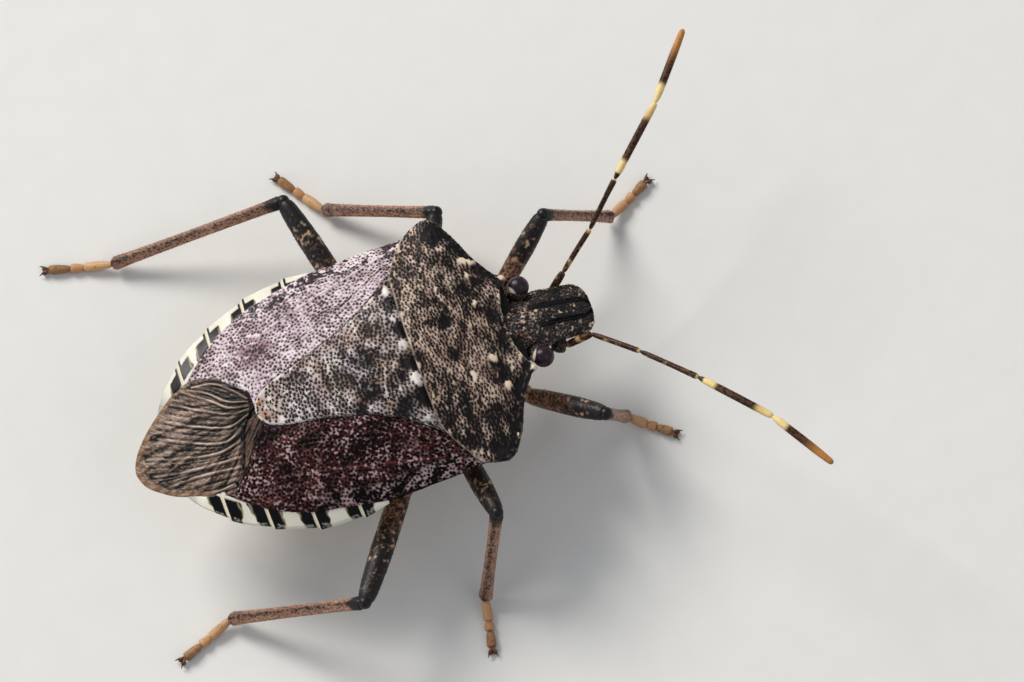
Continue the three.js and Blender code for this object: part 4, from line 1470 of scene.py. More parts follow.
LEFT_WING = Wing(
    Side.LEFT,
    ((-5.92, 0.71), (-6.09, 0.88), (-6.51, 1.31), (-6.96, 1.68), (-7.45, 1.91), (-7.83, 1.98)),
    (
        Blotch(-5.45, 2.0, 0.75, 0.45, 1.1), Blotch(-5.0, 2.9, 0.5, 0.3, 0.5), Blotch(-6.3, 2.4, 0.5, 0.4, 0.4),
        Blotch(-3.4, 3.1, 0.6, 0.4, 0.3), Blotch(-1.8, 3.5, 0.5, 0.3, 0.35), Blotch(-6.9, 2.2, 0.5, 0.3, 0.5),
    ),
    (Blotch(-5.3, 1.95, 0.3, 0.25, 0.6), Blotch(-4.0, 2.95, 0.3, 0.25, 0.4), Blotch(-1.7, 3.4, 0.2, 0.2, 0.4)),
)
RIGHT_WING = Wing(
    Side.RIGHT,
    ((-5.82, -0.49), (-6.12, -0.72), (-6.38, -0.97), (-6.72, -1.44), (-7.16, -1.86), (-7.57, -2.1), (-7.83, -2.0)),
    (Blotch(-3.5, -2.6, 4.0, 1.6, 0.55), Blotch(-5.7, -1.8, 1.2, 0.8, 0.6)),
    (
        Blotch(-4.56, -1.54, 0.4, 0.2, 0.9), Blotch(-4.41, -2.93, 0.3, 0.2, 0.6), Blotch(-5.68, -2.1, 0.3, 0.2, 0.5),
        Blotch(-2.5, -2.1, 1.6, 0.25, 0.6, 22), Blotch(-5.9, -0.9, 0.5, 0.3, 0.8),
    ),
    # Larger pits and more dark clots than on the left wing: partly the wing's own pattern, partly painted shade.
    crowding=1.28,
    clotting=0.08,
)
LEFT_FILM_OUTER = (
    (-5.8, 0.75), (-6.09, 1.0), (-6.51, 1.45), (-6.96, 1.82), (-7.45, 2.02), (-7.83, 2.0), (-8.4, 1.84),
    (-8.95, 1.52), (-9.5, 1.14), (-9.95, 0.74), (-10.3, 0.3), (-10.43, -0.02), (-10.45, -0.13),
)
LEFT_FILM_INNER = (
    (-5.8, 0.3), (-6.15, 0.08), (-6.49, -0.31), (-6.71, -0.91), (-6.97, -1.52), (-7.35, -1.86), (-8.12, -1.92),
    (-8.83, -1.66), (-9.4, -1.4), (-9.85, -1.08), (-10.3, -0.62), (-10.43, -0.28), (-10.45, -0.17),
)
RIGHT_FILM_OUTER = ((-5.6, 0.35), (-6.4, 0.1), (-7.0, -0.6), (-7.6, -1.4), (-8.3, -1.7))
RIGHT_FILM_INNER = (
    (-5.6, -0.35), (-6.12, -0.9), (-6.38, -1.15), (-6.72, -1.6), (-7.16, -2.02), (-7.7, -2.1), (-8.3, -1.76),
)


@dataclass(frozen=True)
class Head:
    """The head: two side lobes, a middle lobe, granules, feeler sockets and simple eyes."""

    half_width: Sequence[Station] = (
        (2.3, 1), (3.4, 0.98), (3.75, 0.93), (4.2, 0.86), (4.8, 0.84), (5.1, 0.77), (5.28, 0.6), (5.37, 0.38),
        (5.395, 0.2), (5.4, 0.06),
    )
    crest: Sequence[Station] = ((2.3, 3.4), (2.8, 3.32), (3.4, 3.14), (4.2, 2.72), (5, 2.2), (5.4, 1.88))
    edge: Sequence[Station] = ((2.3, 2.8), (3.4, 2.62), (4.2, 2.3), (5, 1.95), (5.4, 1.8))
    keel: Sequence[Station] = ((2.3, 1.75), (3.2, 1.5), (4.2, 1.4), (4.9, 1.42), (5.4, 1.62))
    rear: float = 2.3
    length: float = 3.1
    edge_thickness: float = 0.14
    furrow_share: float = 0.34
    feeler_root: Station = (3.75, 0.7, 1.95)
    feeler_base: Station = (4.2, 0.9, 1.88)
    socket_radii: Sequence[Station] = ((0, 0.2), (0.5, 0.27), (0.85, 0.26), (1, 0.17))
    orbit: Station = (3.3, 1.08, 2.74)
    orbit_radii: Station = (0.36, 0.32, 0.33)
    ocellus: Station = (3.0, 0.46, 3.2)
    ocellus_radii: Station = (0.085, 0.085, 0.07)
    pits: Punctures = Punctures(spacing=0.085, radius=0.044, depth=0.022, seed=51)

    def build(self, hues: Hues) -> None:
        """Build and dress the head and its simple eyes."""
        share = np.linspace(0, 1, 170)
        x = self.rear + self.length * (1.45 * share - 0.45 * share**2.6)
        half, crest, edge = along(self.half_width)(x), along(self.crest)(x), along(self.edge)(x)
        keel = along(self.keel)(x)
        top = np.linspace(-1, 1, 150)
        low = np.linspace(1, -1, 90)[1:-1]
        roof = edge[:, None] + (crest - edge)[:, None] * (1 - np.abs(top) ** 2.4)
        fore = smooth(3.3, 3.9, x)[:, None]
        cleft = bell(np.abs(top) - self.furrow_share, 0.07)
        lobe = np.cos(np.clip(top / self.furrow_share, -1, 1) * np.pi / 2)
        flange = smooth(0.85, 0.98, np.abs(top)) * 0.05
        roof = roof + fore * (0.07 * lobe - 0.1 * cleft) + flange
        rim = (edge - self.edge_thickness)[:, None]
        floor = rim - (rim - keel[:, None]) * (1 - low**2)
        upper = np.stack([np.broadcast_to(x[:, None], roof.shape), half[:, None] * top, roof], axis=-1)
        lower = np.stack([np.broadcast_to(x[:, None], floor.shape), half[:, None] * low, floor], axis=-1)
        shell = rings(np.concatenate([upper, lower], axis=1))
        points = shell.points
        up = smooth(0.0, 0.12, points[:, 2] - along(self.edge)(points[:, 0]) + self.edge_thickness)
        shell.raised(UP, up * (rolling(points, 0.35, 52) * 0.03 + rolling(points, 0.12, 53) * 0.02))
        side_share = np.abs(points[:, 1]) / along(self.half_width)(points[:, 0])
        groove = bell(side_share - self.furrow_share, 0.1) * smooth(3.2, 3.8, points[:, 0])
        cloud = rolling(points, 0.5, 54)
        dark = np.clip(0.55 + 0.7 * cloud, 0, 1) + 1.3 * groove
        border = smooth(0.9, 0.985, side_share) * smooth(3.5, 3.8, points[:, 0]) * up
        grains = smooth(0.38, 0.6, rolling(points, 0.07, 56)) * smooth(-0.4, 0.4, rolling(points, 0.6, 57))
        grains *= (1 - groove) * up
        paint(
            shell, density=1 - grains, swell=1.15 + 0.35 * dark + 0.4 * rolling(points, 0.17, 58),
            dark=dark * (1 - 0.5 * border) * (0.4 + 0.6 * up) * (1 - grains),
            pale=np.maximum(0.9 * grains, border * 0.7 * smooth(-0.2, 0.5, rolling(points, 0.2, 55))),
        )
        leftward = 0.06 + 0.13 * side_share * smooth(0.0, 0.3, points[:, 1])
        shell.points[:, 1] += smooth(3.3, 4.0, points[:, 0]) * leftward
        for side in Side:
            turn = np.array([1, side.value, 1])
            root, base = np.array(self.feeler_root) * turn, np.array(self.feeler_base) * turn
            steps = np.linspace(0, 1, 26)
            socket = swept(root + (base - root) * steps[:, None], along(self.socket_radii)(steps), 40)
            shell = shell.joined(paint(socket, density=1.0, swell=1.1, dark=0.5))
            orbit = ball(np.array(self.orbit) * turn, self.orbit_radii, 40)
            rear = smooth(3.35, 3.1, orbit.points[:, 0]) * smooth(1.05, 1.25, np.abs(orbit.points[:, 1]))
            paint(orbit, density=1 - rear, swell=1.2, dark=0.7 * (1 - rear), pale=0.85 * rear)
            shell = shell.joined(orbit)
        piece = make_piece("head_shell", shell)
        self.pits.sink_into(piece, hues.head)
        set_down(piece, "head_shell", "head")
        eyes = [ball(np.array(self.ocellus) * (1, side.value, 1), self.ocellus_radii, 16) for side in Side]
        piece = make_piece("simple_eyes", eyes[0].joined(eyes[1]))
        piece.data.materials.append(hues.ocellus)
        set_down(piece, "eye")


@dataclass(frozen=True)
class Eye:
    """A faceted eye on its short stalk."""

    side: Side
    centre: Station = (3.41, 1.26, 2.85)
    radius: float = 0.355
    facets: int = 1300
    bulge: float = 0.004

    def build(self, hues: Hues) -> bpy.types.Object:
        """Build and dress the eye."""
        centre = np.array(self.centre) * (1, self.side.value, 1)
        shell = ball((0, 0, 0), (1, 1, 1), 100)
        order = np.arange(self.facets) + 0.5
        lift = np.arccos(1 - 2 * order / self.facets)
        turn = order * np.pi * (1 + 5**0.5)
        spots = np.stack([np.sin(lift) * np.cos(turn), np.sin(lift) * np.sin(turn), np.cos(lift)], axis=1)
        tree = KDTree(self.facets)
        for i, spot in enumerate(spots):
            tree.insert(spot, i)
        tree.balance()
        reach = np.array([tree.find(point)[2] for point in shell.points])
        spacing = math.sqrt(4 * math.pi / self.facets)
        dome = 1 - np.clip(reach / (0.6 * spacing), 0, 1) ** 2
        behind = shell.points @ np.array([-0.86, -0.42 * self.side.value, 0.28])
        paint(shell, pale=smooth(0.74, 0.84, behind))
        shell.points = centre + shell.points * (self.radius + self.bulge * dome)[:, None]
        piece = make_piece(f"faceted_eye_{self.side.word}", shell)
        piece.data.materials.append(hues.eye)
        return set_down(piece, "eye", f"eye_{self.side.word}")


@dataclass(frozen=True)
class FeelerJoint:
    """One length of a feeler: its radii in millimetres and where it is pale."""

    base: float
    middle: float
    end: float
    pale: Sequence[Station]
    dark: float = 0.8

    def radii(self) -> Sequence[Station]:
        """The radius at shares of the length."""
        return (
            (0, self.base * 0.6), (0.03, self.base), (0.14, self.middle * 0.95), (0.6, self.middle),
            (0.93, self.end), (0.975, self.end * 0.85), (1, self.end * 0.35),
        )


FEELER_JOINTS = (
    FeelerJoint(0.085, 0.13, 0.11, ((0, 0.3), (0.12, 0.3), (0.2, 0), (1, 0)), 0.98),
    FeelerJoint(0.07, 0.092, 0.092, ((0, 0.1), (0.06, 0), (0.93, 0), (0.98, 0.7), (1, 0.7)), 0.95),
    FeelerJoint(0.065, 0.088, 0.1, ((0, 0), (0.95, 0), (0.985, 0.8), (1, 0.8)), 1.0),
    FeelerJoint(
        0.075, 0.122, 0.115, ((0, 0), (0.06, 0), (0.09, 1), (0.2, 1), (0.27, 0), (0.74, 0), (0.84, 1), (1, 1)), 1.0
    ),
    FeelerJoint(0.08, 0.13, 0.105, ((0, 1), (0.2, 1), (0.28, 0), (1, 0)), 1.0),
)


@dataclass(frozen=True)
class Feeler:
    """A feeler of five lengths."""

    side: Side
    joints: Sequence[Station]
    base: Station = (4.2, 0.9, 1.88)

    def build(self, hues: Hues) -> bpy.types.Object:
        """Build and dress the feeler."""
        places = [np.array(self.base) * (1, self.side.value, 1), *(np.array(joint) for joint in self.joints)]
        parts = []
        for i, joint in enumerate(FEELER_JOINTS):
            start, end = places[i], places[i + 1]
            length = np.linalg.norm(end - start)
            way = (end - start) / length
            steps = np.linspace(0, 1, int(length / 0.035))
            bow = np.sin(steps * np.pi)[:, None] * np.array([0, 0, 0.03])
            path = start + (end - start) * steps[:, None] + bow
            part = swept(path, along(joint.radii())(steps), 24)
            run = part.marks["run"]
            pale = along(joint.pale)(run)
            cloud = rolling(part.points, 0.16, 60 + i)
            specks = smooth(0.3, 0.6, cloud) * (1.0 if i < 3 else 0.0) * (0.5 if i == 2 else 0.9)
            dark = np.clip(joint.dark * (1 - pale) * (1 - specks), 0, 1)
            amber = np.zeros_like(run)
            if i == 3:
                amber = smooth(0.68, 0.84, run) * smooth(1.0, 0.84, run) * 0.7
            if i == 4:
                amber = smooth(0.42, 0.8, run)
                dark = dark * (1 - 0.95 * amber)
            paint(part, dark=dark, pale=np.maximum(pale * (1 - 0.5 * amber), 0.35 * specks), blush=amber,
                  density=(0.9 if i < 3 else 0.0) * (1 - pale), swell=0.9, hair=0.25 + 0.75 * smooth(1.5, 2.5, i))
            parts.append(part.headed(way))
        piece = make_piece(f"feeler_{self.side.word}_joints", as_one(parts))
        Punctures(spacing=0.08, radius=0.03, depth=0.006, seed=70).sink_into(piece, hues.feeler)
        Hairs(spacing=0.07, length=0.06, radius=0.003, lean=1.6, seed=71).grow_on(piece, hues.horn)
        return set_down(piece, "feeler", f"feeler_{self.side.word}")


@dataclass(frozen=True)
class Beak:
    """The four-jointed beak folded back under the body."""

    joints: Sequence[Station] = ((4.85, 0, 0.97), (3.9, 0, 0.97), (2.3, 0, 1.1), (0.3, 0, 0.53), (-1.7, 0, 0.42))
    radii: Sequence[float] = (0.2, 0.18, 0.16, 0.13)
    labrum: Station = (4.9, 0, 1.25)
    labrum_radii: Station = (0.22, 0.2, 0.3)

    def build(self, hues: Hues) -> bpy.types.Object:
        """Build and dress the beak."""
        parts = []
        places = np.array(self.joints, float)
        for i, radius in enumerate(self.radii):
            steps = np.linspace(0, 1, 60)
            path = places[i] + (places[i + 1] - places[i]) * steps[:, None]
            taper = 0.35 if i == 3 else 0.75
            radii = radius * along([(0, 0.6), (0.06, 0.95), (0.5, 1), (0.9, 0.85), (1, taper)])(steps)
            part = swept(path, radii, 28, lambda angles: 1 - 0.12 * bell(angles - np.pi * 1.5, 0.25))
            run = part.marks["run"]
            shade = 0.9 * smooth(0.9, 1.0, run) + (0.8 if i == 3 else 0.1) * smooth(0.2, 1.0, run)
            paint(part, dark=np.clip(shade, 0, 1), density=0.3, swell=0.8)
            parts.append(part)
        labrum = ball(self.labrum, self.labrum_radii, 24)
        parts.append(paint(labrum, dark=0.4, density=0.4, swell=0.8))
        piece = make_piece("beak_joints", as_one(parts))
        Punctures(spacing=0.12, radius=0.03, depth=0.006, seed=80).sink_into(piece, hues.leg)
        return set_down(piece, "beak", "beak")


SEGMENT_SUTURES = (-3.82, -5.33, -6.73, -7.97)


@dataclass(frozen=True)
class Trunk:
    """The thorax and abdomen under the plates and wings."""

    thorax_half: Sequence[Station] = (
        (2.95, 1.5), (2.86, 1.72), (2.6, 2.08), (2.3, 2.62), (2.08, 3.14), (1.86, 3.6), (1.5, 4.08), (1.25, 4.22),
        (0.95, 4.18), (0.42, 3.98), (-0.5, 4.02), (-3.0, 4.04),
    )
    abdomen_half: Sequence[Station] = (
        (-2.8, 4.14), (-4, 4.24), (-5.15, 4.1), (-6.4, 3.66), (-7.45, 3.13), (-8.4, 2.36), (-8.87, 1.85),
        (-9.13, 1.4), (-9.28, 0.85), (-9.35, 0.3),
    )
    thorax_span: Station = (-3.0, 2.95)
    abdomen_front: float = -2.9
    abdomen_length: float = 6.45
    tooth_size: float = 0.08
    tooth_run: float = 1.1

    def ring_rows(self, x: Array, half: Array, sunk: float, side_drop: float, counts: tuple[int, int]) -> Array:
        """Rings across the trunk, each over the top and back under the belly.

        Args:
            x: Place of each ring.
            half: Half width of each ring.
            sunk: How far the top lies under the back's form.
            side_drop: Height of the side edge.
            counts: Vertices over the top and under the belly.

        Returns:
            Places with shape rings, vertices and 3.
        """
        top = np.sin(np.linspace(-np.pi / 2, np.pi / 2, counts[0]))
        low = np.sin(np.linspace(np.pi / 2, -np.pi / 2, counts[1] + 2))[1:-1]
        column = x[:, None]
        y_top, y_low = half[:, None] * top, half[:, None] * low
        z_top = BACK.height(np.broadcast_to(column, y_top.shape), y_top) - sunk
        z_top = z_top - 0.05 * smooth(0.985, 1.0, np.abs(top))
        rim = (BACK.height(x, half) - sunk - side_drop)[:, None]
        z_low = BACK.belly(column, low, rim)
        upper = np.stack([np.broadcast_to(column, y_top.shape), y_top, z_top], axis=-1)
        lower = np.stack([np.broadcast_to(column, y_low.shape), y_low, z_low], axis=-1)
        return np.concatenate([upper, lower], axis=1)

    def build_thorax(self, hues: Hues) -> bpy.types.Object:
        """Build and dress the thorax."""
        x = np.linspace(*self.thorax_span, 190)
        shell = rings(self.ring_rows(x, along(self.thorax_half)(x), 0.16, 0.14, (60, 220)))
        points = shell.points
        under = smooth(0.0, 0.3, BACK.height(points[:, 0], points[:, 1]) - points[:, 2] - 0.25)
        seams = np.zeros(len(points))
        for place in (0.95, -1.25):
            seams = np.maximum(seams, bell(points[:, 0] - place + 0.1 * np.abs(points[:, 1]), 0.05))
        middle = bell(points[:, 1], 0.25)
        height = under * (-0.06 * seams + rolling(points, 0.4, 90) * 0.03 - 0.05 * middle)
        shell.raised(-UP, height)
        cloud = rolling(points, 0.45, 91)
        # Painted shade: the thorax is painted dark towards the neck, in the gap under the head and the front of the
        # pronotum, less so underneath.
        neck_painted_shade = smooth(1.9, 2.3, points[:, 0]) * (1 - 0.7 * under)
        shade = np.clip(0.6 * seams + 0.5 * smooth(0.3, 0.8, cloud), 0, 1)
        paint(shell, density=under * (1 - middle), swell=1.0 + 0.3 * cloud, dark=np.maximum(shade, 1.5 * neck_painted_shade),
              )
        piece = make_piece("thorax_underside", shell)
        Punctures(spacing=0.15, radius=0.045, depth=0.015, seed=92).sink_into(piece, hues.belly)
        return set_down(piece, "thorax_shell", "thorax")

    def build_abdomen(self, hues: Hues) -> bpy.types.Object:
        """Build and dress the abdomen with its barred side margin."""
        share = np.linspace(0, 1, 300)
        x = self.abdomen_front - self.abdomen_length * (1.3 * share - 0.3 * share**2.2)
        half = along(self.abdomen_half)(x)
        for suture in SEGMENT_SUTURES:
            ahead = x - suture
            tooth = self.tooth_size * (1 - ahead / self.tooth_run)
            half = np.where((ahead >= 0) & (ahead < self.tooth_run), half + tooth, half)
        shell = rings(self.ring_rows(x, half, 0.06, 0.14, (150, 170)))
        points = shell.points
        near = np.min(np.abs(points[:, 0][:, None] - np.array(SEGMENT_SUTURES)), axis=1)
        plan_half = along(self.abdomen_half)(points[:, 0])
        outer = smooth(0.75, 0.6, plan_half - np.abs(points[:, 1]))
        below = smooth(0.2, 0.4, BACK.height(points[:, 0], points[:, 1]) - points[:, 2])
        seam = bell(near, 0.03)
        tail = np.clip((-8.2 - points[:, 0]) / 1.15, 0, 1) ** 2
        brim = BACK.height(points[:, 0], plan_half) - 0.2
        hanging = points[:, 2] < brim
        points[hanging, 2] += (0.8 * tail * (brim - points[:, 2]))[hanging]
        ragged = near + 0.05 * rolling(points, 0.16, 96)
        margin_run = np.clip((plan_half - np.abs(points[:, 1])) / 0.6, 0, 1)
        block = smooth(0.04, 0.07, near) * smooth(0.06, 0.0, ragged - 0.36 - 0.13 * margin_run)
        block *= outer * (1 - 0.8 * below)
        is_left = points[:, 1] > 0
        rim = smooth(0.07, 0.0, plan_half - np.abs(points[:, 1]) - np.where(is_left, 0.15, 0.06))
        rim *= np.where(is_left, 0.95, 0.5) * smooth(0.1, 0.14, near)
        block *= 1 - rim
        tip = smooth(-8.6, -9.0, points[:, 0]) * 0.5
        height = -0.03 * seam + rolling(points, 0.5, 94) * 0.015
        wing_edge = along(COSTAL_EDGE)(points[:, 0])
        behind = smooth(-7.75, -7.9, points[:, 0])
        left = wing_edge * (1 - behind) + along(LEFT_FILM_OUTER)(points[:, 0]) * behind
        right = -wing_edge * (1 - behind) + along(LEFT_FILM_INNER)(points[:, 0]) * behind
        inside = np.minimum(left - points[:, 1], points[:, 1] - right)
        covered = smooth(-0.02, 0.25, inside) * (1 - below)
        shell.raised(UP, np.where(below > 0.5, -height, height) - 0.22 * covered)
        spots = np.zeros(len(points))
        for suture in (*SEGMENT_SUTURES, -2.6):
            run, across = points[:, 0] - suture + 0.75, np.abs(points[:, 1]) - 0.72 * plan_half
            spots = np.maximum(spots, bell(run, 0.12) * bell(across, 0.12))
        paint(
            shell, density=0.8 * below, swell=0.9 + 0.4 * rolling(points, 0.3, 97),
            dark=2.0 * block + tip + below * spots * 0.9,
            pale=np.clip(outer * np.maximum(seam, 0.4 * bell(ragged - 0.45, 0.03)) * (1 - below), 0, 1),
            blush=1.2 * below,
        )
        piece = make_piece("abdomen_underside", shell)
        Punctures(spacing=0.17, radius=0.035, depth=0.012, seed=95).sink_into(piece, hues.margin)
        return set_down(piece, "abdomen_shell", "abdomen")


@dataclass(frozen=True)
class LegRoot:
    """Where a leg starts on the trunk, and how thick its thigh is."""

    hip: Station
    trochanter: Station
    thigh: float


LEG_ROOTS = {
    "front": LegRoot((1.6, 0.95, 1.25), (2.3, 1.65, 0.8), 0.34),
    "middle": LegRoot((-0.45, 1.25, 1), (-0.35, 2.1, 0.7), 0.35),
    "hind": LegRoot((-1.8, 1.35, 0.95), (-1.8, 2.15, 0.7), 0.385),
}


@dataclass(frozen=True)
class Leg:
    """A leg on the floor frame, from its hip to its two claws."""

    root: str
    side: Side
    knee: Station
    ankle: Station
    toe: Station
    shin: float = 0.2
    foot: float = 0.15
    foot_joints: Sequence[float] = (0, 0.45, 0.66, 1)
    ankle_height: float = 0.34
    trochanter_shape: Sequence[Station] = ((0, 0.8), (0.4, 0.95), (0.85, 1), (1, 0.7))
    thigh_shape: Sequence[Station] = (
        (0, 0.6), (0.05, 0.78), (0.3, 0.95), (0.62, 1), (0.86, 0.88), (0.96, 0.74), (1, 0.5),
    )
    shin_shape: Sequence[Station] = (
        (0, 0.7), (0.03, 1.1), (0.1, 1.0), (0.5, 0.92), (0.9, 1.02), (0.98, 1.12), (1, 0.8),
    )
    coxa_radii: Station = (0.42, 0.4, 0.48)
    knee_radius: float = 0.22
    foot_shape: Sequence[Station] = ((0, 0.55), (0.15, 0.8), (0.7, 1.05), (0.95, 1.0), (1, 0.6))
    claw_shape: Sequence[Station] = ((0, 0.055), (0.4, 0.045), (1, 0.008))
    claw_length: float = 0.4
    claw_spread: float = 0.45

    def limb(self, start: Array, end: Array, shape: Sequence[Station], radius: float, sides: int,
             profile: Profile | None = None) -> Shell:
        """One length of the leg, with the way along it painted."""
        length = np.linalg.norm(end - start)
        steps = np.linspace(0, 1, max(12, int(length / 0.04)))
        part = swept(start + (end - start) * steps[:, None], radius * along(shape)(steps), sides, profile)
        return part.headed((end - start) / length)

    def build(self, hues: Hues) -> None:
        """Build and dress the leg and its claws."""
        root = LEG_ROOTS[self.root]
        turn = (1, self.side.value, 1)
        hip, bend = STANCE.trunk(np.array(root.hip) * turn), STANCE.trunk(np.array(root.trochanter) * turn)
        knee = np.array(self.knee, float)
        ankle, toe = np.array([*self.ankle, self.ankle_height]), np.array([*self.toe, self.foot])
        seed = 100 + 7 * sum(map(ord, self.root)) % 50 + self.side.value
        coxa = ball(hip, self.coxa_radii, 30)
        paint(coxa, dark=0.15, density=0.6, swell=0.9, hair=0.1)
        coxa.headed(-UP)
        thigh_way = (knee - bend) / np.linalg.norm(knee - bend)
        trochanter = self.limb(hip, bend + thigh_way * 0.3, self.trochanter_shape, 0.3, 40)
        paint(trochanter, dark=0.1, density=0.6, swell=0.9, hair=0.2)
        femur = self.limb(bend + thigh_way * 0.12, knee, self.thigh_shape, root.thigh, 56)
        run = femur.marks["run"]
        cloud = rolling(femur.points, 0.22, seed)
        darkness = 0.05 + 1.4 * smooth(0.15, 0.8, run) + 0.55 * cloud
        specks = smooth(0.3, 0.6, rolling(femur.points, 0.11, seed + 1)) * smooth(0.95, 0.75, run)
        paint(
            femur, dark=np.clip(darkness, 0, 1.6) * (1 - 0.8 * specks), pale=0.3 * specks * smooth(0.3, 0.7, run),
            density=1 - 0.6 * specks, swell=1.15 + 0.6 * np.clip(cloud + run - 0.3, 0, 1), hair=0.35,
        )
        cap = ball(knee, [self.knee_radius] * 3, 24)
        paint(cap, dark=1.6, density=0.0, swell=1.0, hair=0.0)
        cap.headed(UP)
        shin = self.limb(knee, ankle, self.shin_shape, self.shin, 48,
                         lambda angles: 1 + 0.09 * np.cos(4 * angles) - 0.1 * bell(angles - np.pi / 2, 0.3))
        run = shin.marks["run"]
        groove = bell(shin.marks["turn"] - np.pi / 2, 0.35)
        upper = bell(shin.marks["turn"] - np.pi / 2, 0.7)
        shade = 1.6 * smooth(0.12, 0.04, run) + 0.55 * upper + 0.2 * groove + 0.25 * smooth(0.85, 1.0, run)
        shade += 0.35 * smooth(0.2, 0.8, rolling(shin.points, 0.2, seed + 2))
        paint(shin, dark=shade, blush=0.6, density=0.9, swell=0.75 + 0.4 * groove,
              hair=0.5 + 0.5 * smooth(0.4, 0.9, run))
        name = f"{self.root}_leg_{self.side.word}"
        node = f"leg_{self.root}_{self.side.word}"
        piece = make_piece(name, as_one([coxa, trochanter, femur, cap, shin]), on_floor=True)
        Punctures(spacing=0.105, radius=0.042, depth=0.01, seed=seed).sink_into(piece, hues.leg)
        Hairs(spacing=0.09, length=0.09, radius=0.004, lean=1.3, seed=seed).grow_on(piece, hues.horn)
        set_down(piece, "leg", node)
        joints = [ankle + (toe - ankle) * share for share in self.foot_joints]
        for joint in joints[1:]:
            joint[2] = self.foot + 0.01
        parts = []
        for start, end, pale, shade in zip(joints, joints[1:], (0.3, 0.0, 0.0), (0.0, 0.0, 0.5)):
            part = self.limb(start, end, self.foot_shape, self.foot, 32)
            shade += 0.3 * smooth(0.85, 1.0, part.marks["run"])
            parts.append(paint(part, dark=shade, pale=pale, density=0.15, swell=0.6, hair=1.0))
        piece = make_piece(f"{name}_foot", as_one(parts), on_floor=True)
        Punctures(spacing=0.11, radius=0.03, depth=0.006, seed=seed).sink_into(piece, hues.foot)
        Hairs(spacing=0.07, length=0.08, radius=0.004, lean=1.3, seed=seed).grow_on(piece, hues.horn)
        set_down(piece, "leg", node)
        self.build_claws(hues, toe, joints[2], name)

    def build_claws(self, hues: Hues, toe: Array, before: Array, name: str) -> None:
        """Build the two hooked claws at the toe and the pads between them."""
        heading = (toe - before) * (1, 1, 0)
        heading /= np.linalg.norm(heading)
        parts = []
        for hand in (1, -1):
            cos, sin = math.cos(self.claw_spread), hand * math.sin(self.claw_spread)
            way = np.array([heading[0] * cos - heading[1] * sin, heading[0] * sin + heading[1] * cos, 0])
            steps = np.linspace(0, 1, 30)
            rise = (0.1 * np.sin(steps * 2.4) - 0.13 * steps**2)[:, None]
            path = toe - heading * 0.04 + way * (steps[:, None] * self.claw_length) + UP * rise
            claw = swept(path, along(self.claw_shape)(steps), 14)
            paint(claw, dark=smooth(0.2, 0.9, claw.marks["run"]))
            pad = ball(toe + way * 0.16 - (0, 0, 0.06), (0.09, 0.09, 0.05), 12)
            parts += [claw, paint(pad, dark=0.1)]
        piece = make_piece(f"{name}_claws", as_one(parts), on_floor=True)
        piece.data.materials.append(hues.horn)
        set_down(piece, "leg")


LEGS = (
    Leg("front", Side.LEFT, (4.86, 3.5, 3.42), (7.02, 3.62), (8.5, 4.4)),
    Leg("middle", Side.LEFT, (1.56, 5.27, 2.14), (-1.98, 7.32), (-3.07, 8.94)),
    Leg("hind", Side.LEFT, (-3.1, 7.34, 2.53), (-9.31, 8.07), (-11.45, 8.72)),
    Leg("front", Side.RIGHT, (4.54, -3.74, 3.79), (5.19, -3.1), (6.44, -4.1)),
    Leg("middle", Side.RIGHT, (0.11, -5.59, 3.68), (-1.24, -7.3), (-1.58, -8.9)),
    Leg("hind", Side.RIGHT, (-4.89, -6.88, 3.56), (-9.39, -5), (-11.25, -5.68)),
)
FEELERS = (
    Feeler(
        Side.LEFT,
        ((4.95, 1.35, 2.33), (6.28, 2.23, 2.9), (7.63, 3.38, 3.4), (9.75, 5.21, 3.8), (11.45, 7.23, 3.8)),
    ),
    Feeler(
        Side.RIGHT,
        ((5.12, -0.98, 2.35), (6.44, -2.29, 2.9), (7.91, -3.94, 3.4), (9.71, -6.15, 3.8), (10.97, -8.3, 3.8)),
    ),
)


# Studio


@dataclass(frozen=True)
class PhotoCamera:
    """The camera at the photograph's viewing angle, on the trunk's frame."""

    azimuth: float = 8.8819
    elevation: float = 72.9331
    roll: float = -29.2829
    distance: float = 166.963
    aim: Station = (2.6243, -0.4387, 3.0)
    lens: float = 180.0

    def axes(self) -> tuple[Array, Array, Array]:
        """The image's right, its up and the way back to the camera, on the trunk's frame."""
        azimuth, elevation, roll = (math.radians(angle) for angle in (self.azimuth, self.elevation, self.roll))
        level = math.cos(elevation)
        back = np.array([math.sin(azimuth) * level, -math.cos(azimuth) * level, math.sin(elevation)])
        right = np.cross((0, 0, 1), back)
        right /= np.linalg.norm(right)
        up = np.cross(back, right)
        return math.cos(roll) * right + math.sin(roll) * up, math.cos(roll) * up - math.sin(roll) * right, back

    def build(self) -> bpy.types.Object:
        """Set the camera up and make it the scene's."""
        right, up, back = self.axes()
        place = STANCE.metres(STANCE.trunk(np.array(self.aim) + back * self.distance))
        turned = [STANCE.turned(axis) for axis in (right, up, back)]
        matrix = Matrix([[*(axis[row] for axis in turned), place[row]] for row in range(3)] + [[0, 0, 0, 1]])
        data = bpy.data.cameras.new("photo_camera")
        data.lens = self.lens
        data.clip_start = 0.001
        camera = bpy.data.objects.new("photo_camera", data)
        camera.matrix_world = matrix
        bpy.context.scene.collection.objects.link(camera)
        bpy.context.scene.camera = camera
        return camera


@dataclass(frozen=True)
class Softbox:
    """A square soft light that faces the bug."""

    name: str
    place: Station
    size: float
    power: float
    tint: Colour = (1.0, 1.0, 1.0)

    def build(self) -> None:
        """Hang the light."""
        data = bpy.data.lights.new(self.name, "AREA")
        data.size = self.size
        data.energy = self.power
        data.color = self.tint
        light = bpy.data.objects.new(self.name, data)
        light.location = self.place
        light.rotation_euler = (-Vector(self.place)).to_track_quat("-Z", "Y").to_euler()
        bpy.context.scene.collection.objects.link(light)


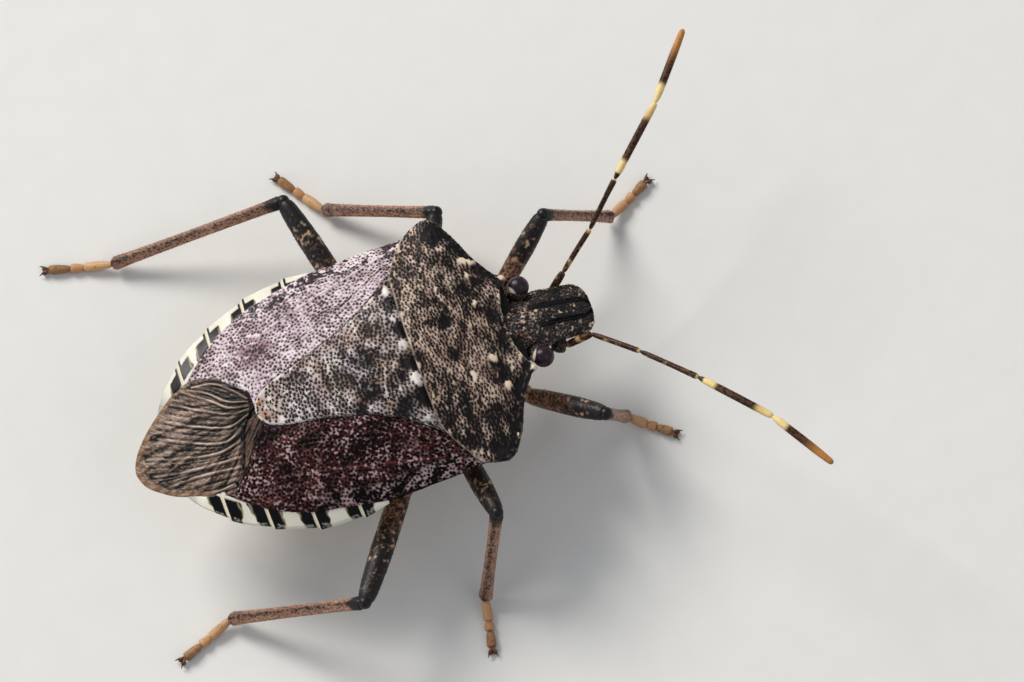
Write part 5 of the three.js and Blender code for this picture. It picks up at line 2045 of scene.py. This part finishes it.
@dataclass(frozen=True)
class Studio:
    """A pale floor under soft light."""

    floor_size: float = 3.0
    floor: Colour = srgb(222, 220, 214)
    sky: Colour = (0.86, 0.9, 1.0)
    sky_strength: float = 0.4
    lights: tuple[Softbox, ...] = (
        Softbox("key_light", (-0.14, 0.34, 0.3), 0.2, 2.3, (1.0, 0.98, 0.95)),
        Softbox("fill_light", (0.3, -0.25, 0.35), 0.4, 0.35, (0.95, 0.97, 1.0)),
        Softbox("rim_light", (-0.4, -0.1, 0.16), 0.25, 0.3, (0.9, 0.95, 1.0)),
    )

    def build(self) -> None:
        """Lay the floor and light it."""
        half = self.floor_size / 2
        mesh = bpy.data.meshes.new("studio_floor")
        mesh.from_pydata([(-half, -half, 0), (half, -half, 0), (half, half, 0), (-half, half, 0)], [], [(0, 1, 2, 3)])
        floor = bpy.data.objects.new("studio_floor", mesh)
        bpy.context.scene.collection.objects.link(floor)
        mesh.materials.append(self.floor_finish())
        world = bpy.data.worlds.new("studio_sky")
        world.use_nodes = True
        sky = world.node_tree.nodes["Background"]
        sky.inputs["Color"].default_value = (*self.sky, 1.0)
        sky.inputs["Strength"].default_value = self.sky_strength
        bpy.context.scene.world = world
        bpy.context.scene.view_settings.view_transform = "Standard"
        for light in self.lights:
            light.build()

    def floor_finish(self) -> bpy.types.Material:
        """The floor's matt paper finish."""
        material, tree, shader = new_finish("floor_paper")
        shader.inputs["Roughness"].default_value = 0.8
        grain = speckle(tree, object_place(tree), 900.0, 4.0)
        dim = tuple(0.94 * value for value in self.floor)
        tree.links.new(mixed(tree, grain, self.floor, dim), shader.inputs["Base Color"])
        return material


def main() -> None:
    """Build the bug, its studio and its camera, and report each piece."""
    PhotoCamera().build()
    Studio().build()
    hues = Hues()
    Pronotum().build(hues)
    Scutellum().build(hues)
    for wing in (LEFT_WING, RIGHT_WING):
        wing.build_leathery(hues)
    LEFT_WING.build_film(hues, LEFT_FILM_INNER, LEFT_FILM_OUTER, 0.05)
    RIGHT_WING.build_film(hues, RIGHT_FILM_INNER, RIGHT_FILM_OUTER, 0.1)
    Head().build(hues)
    for side in Side:
        Eye(side).build(hues)
    for feeler in FEELERS:
        feeler.build(hues)
    Beak().build(hues)
    Trunk().build_thorax(hues)
    Trunk().build_abdomen(hues)
    for leg in LEGS:
        leg.build(hues)


if __name__ == "__main__":
    logging.basicConfig(level=logging.INFO, format="%(name)s: %(message)s")
    main()
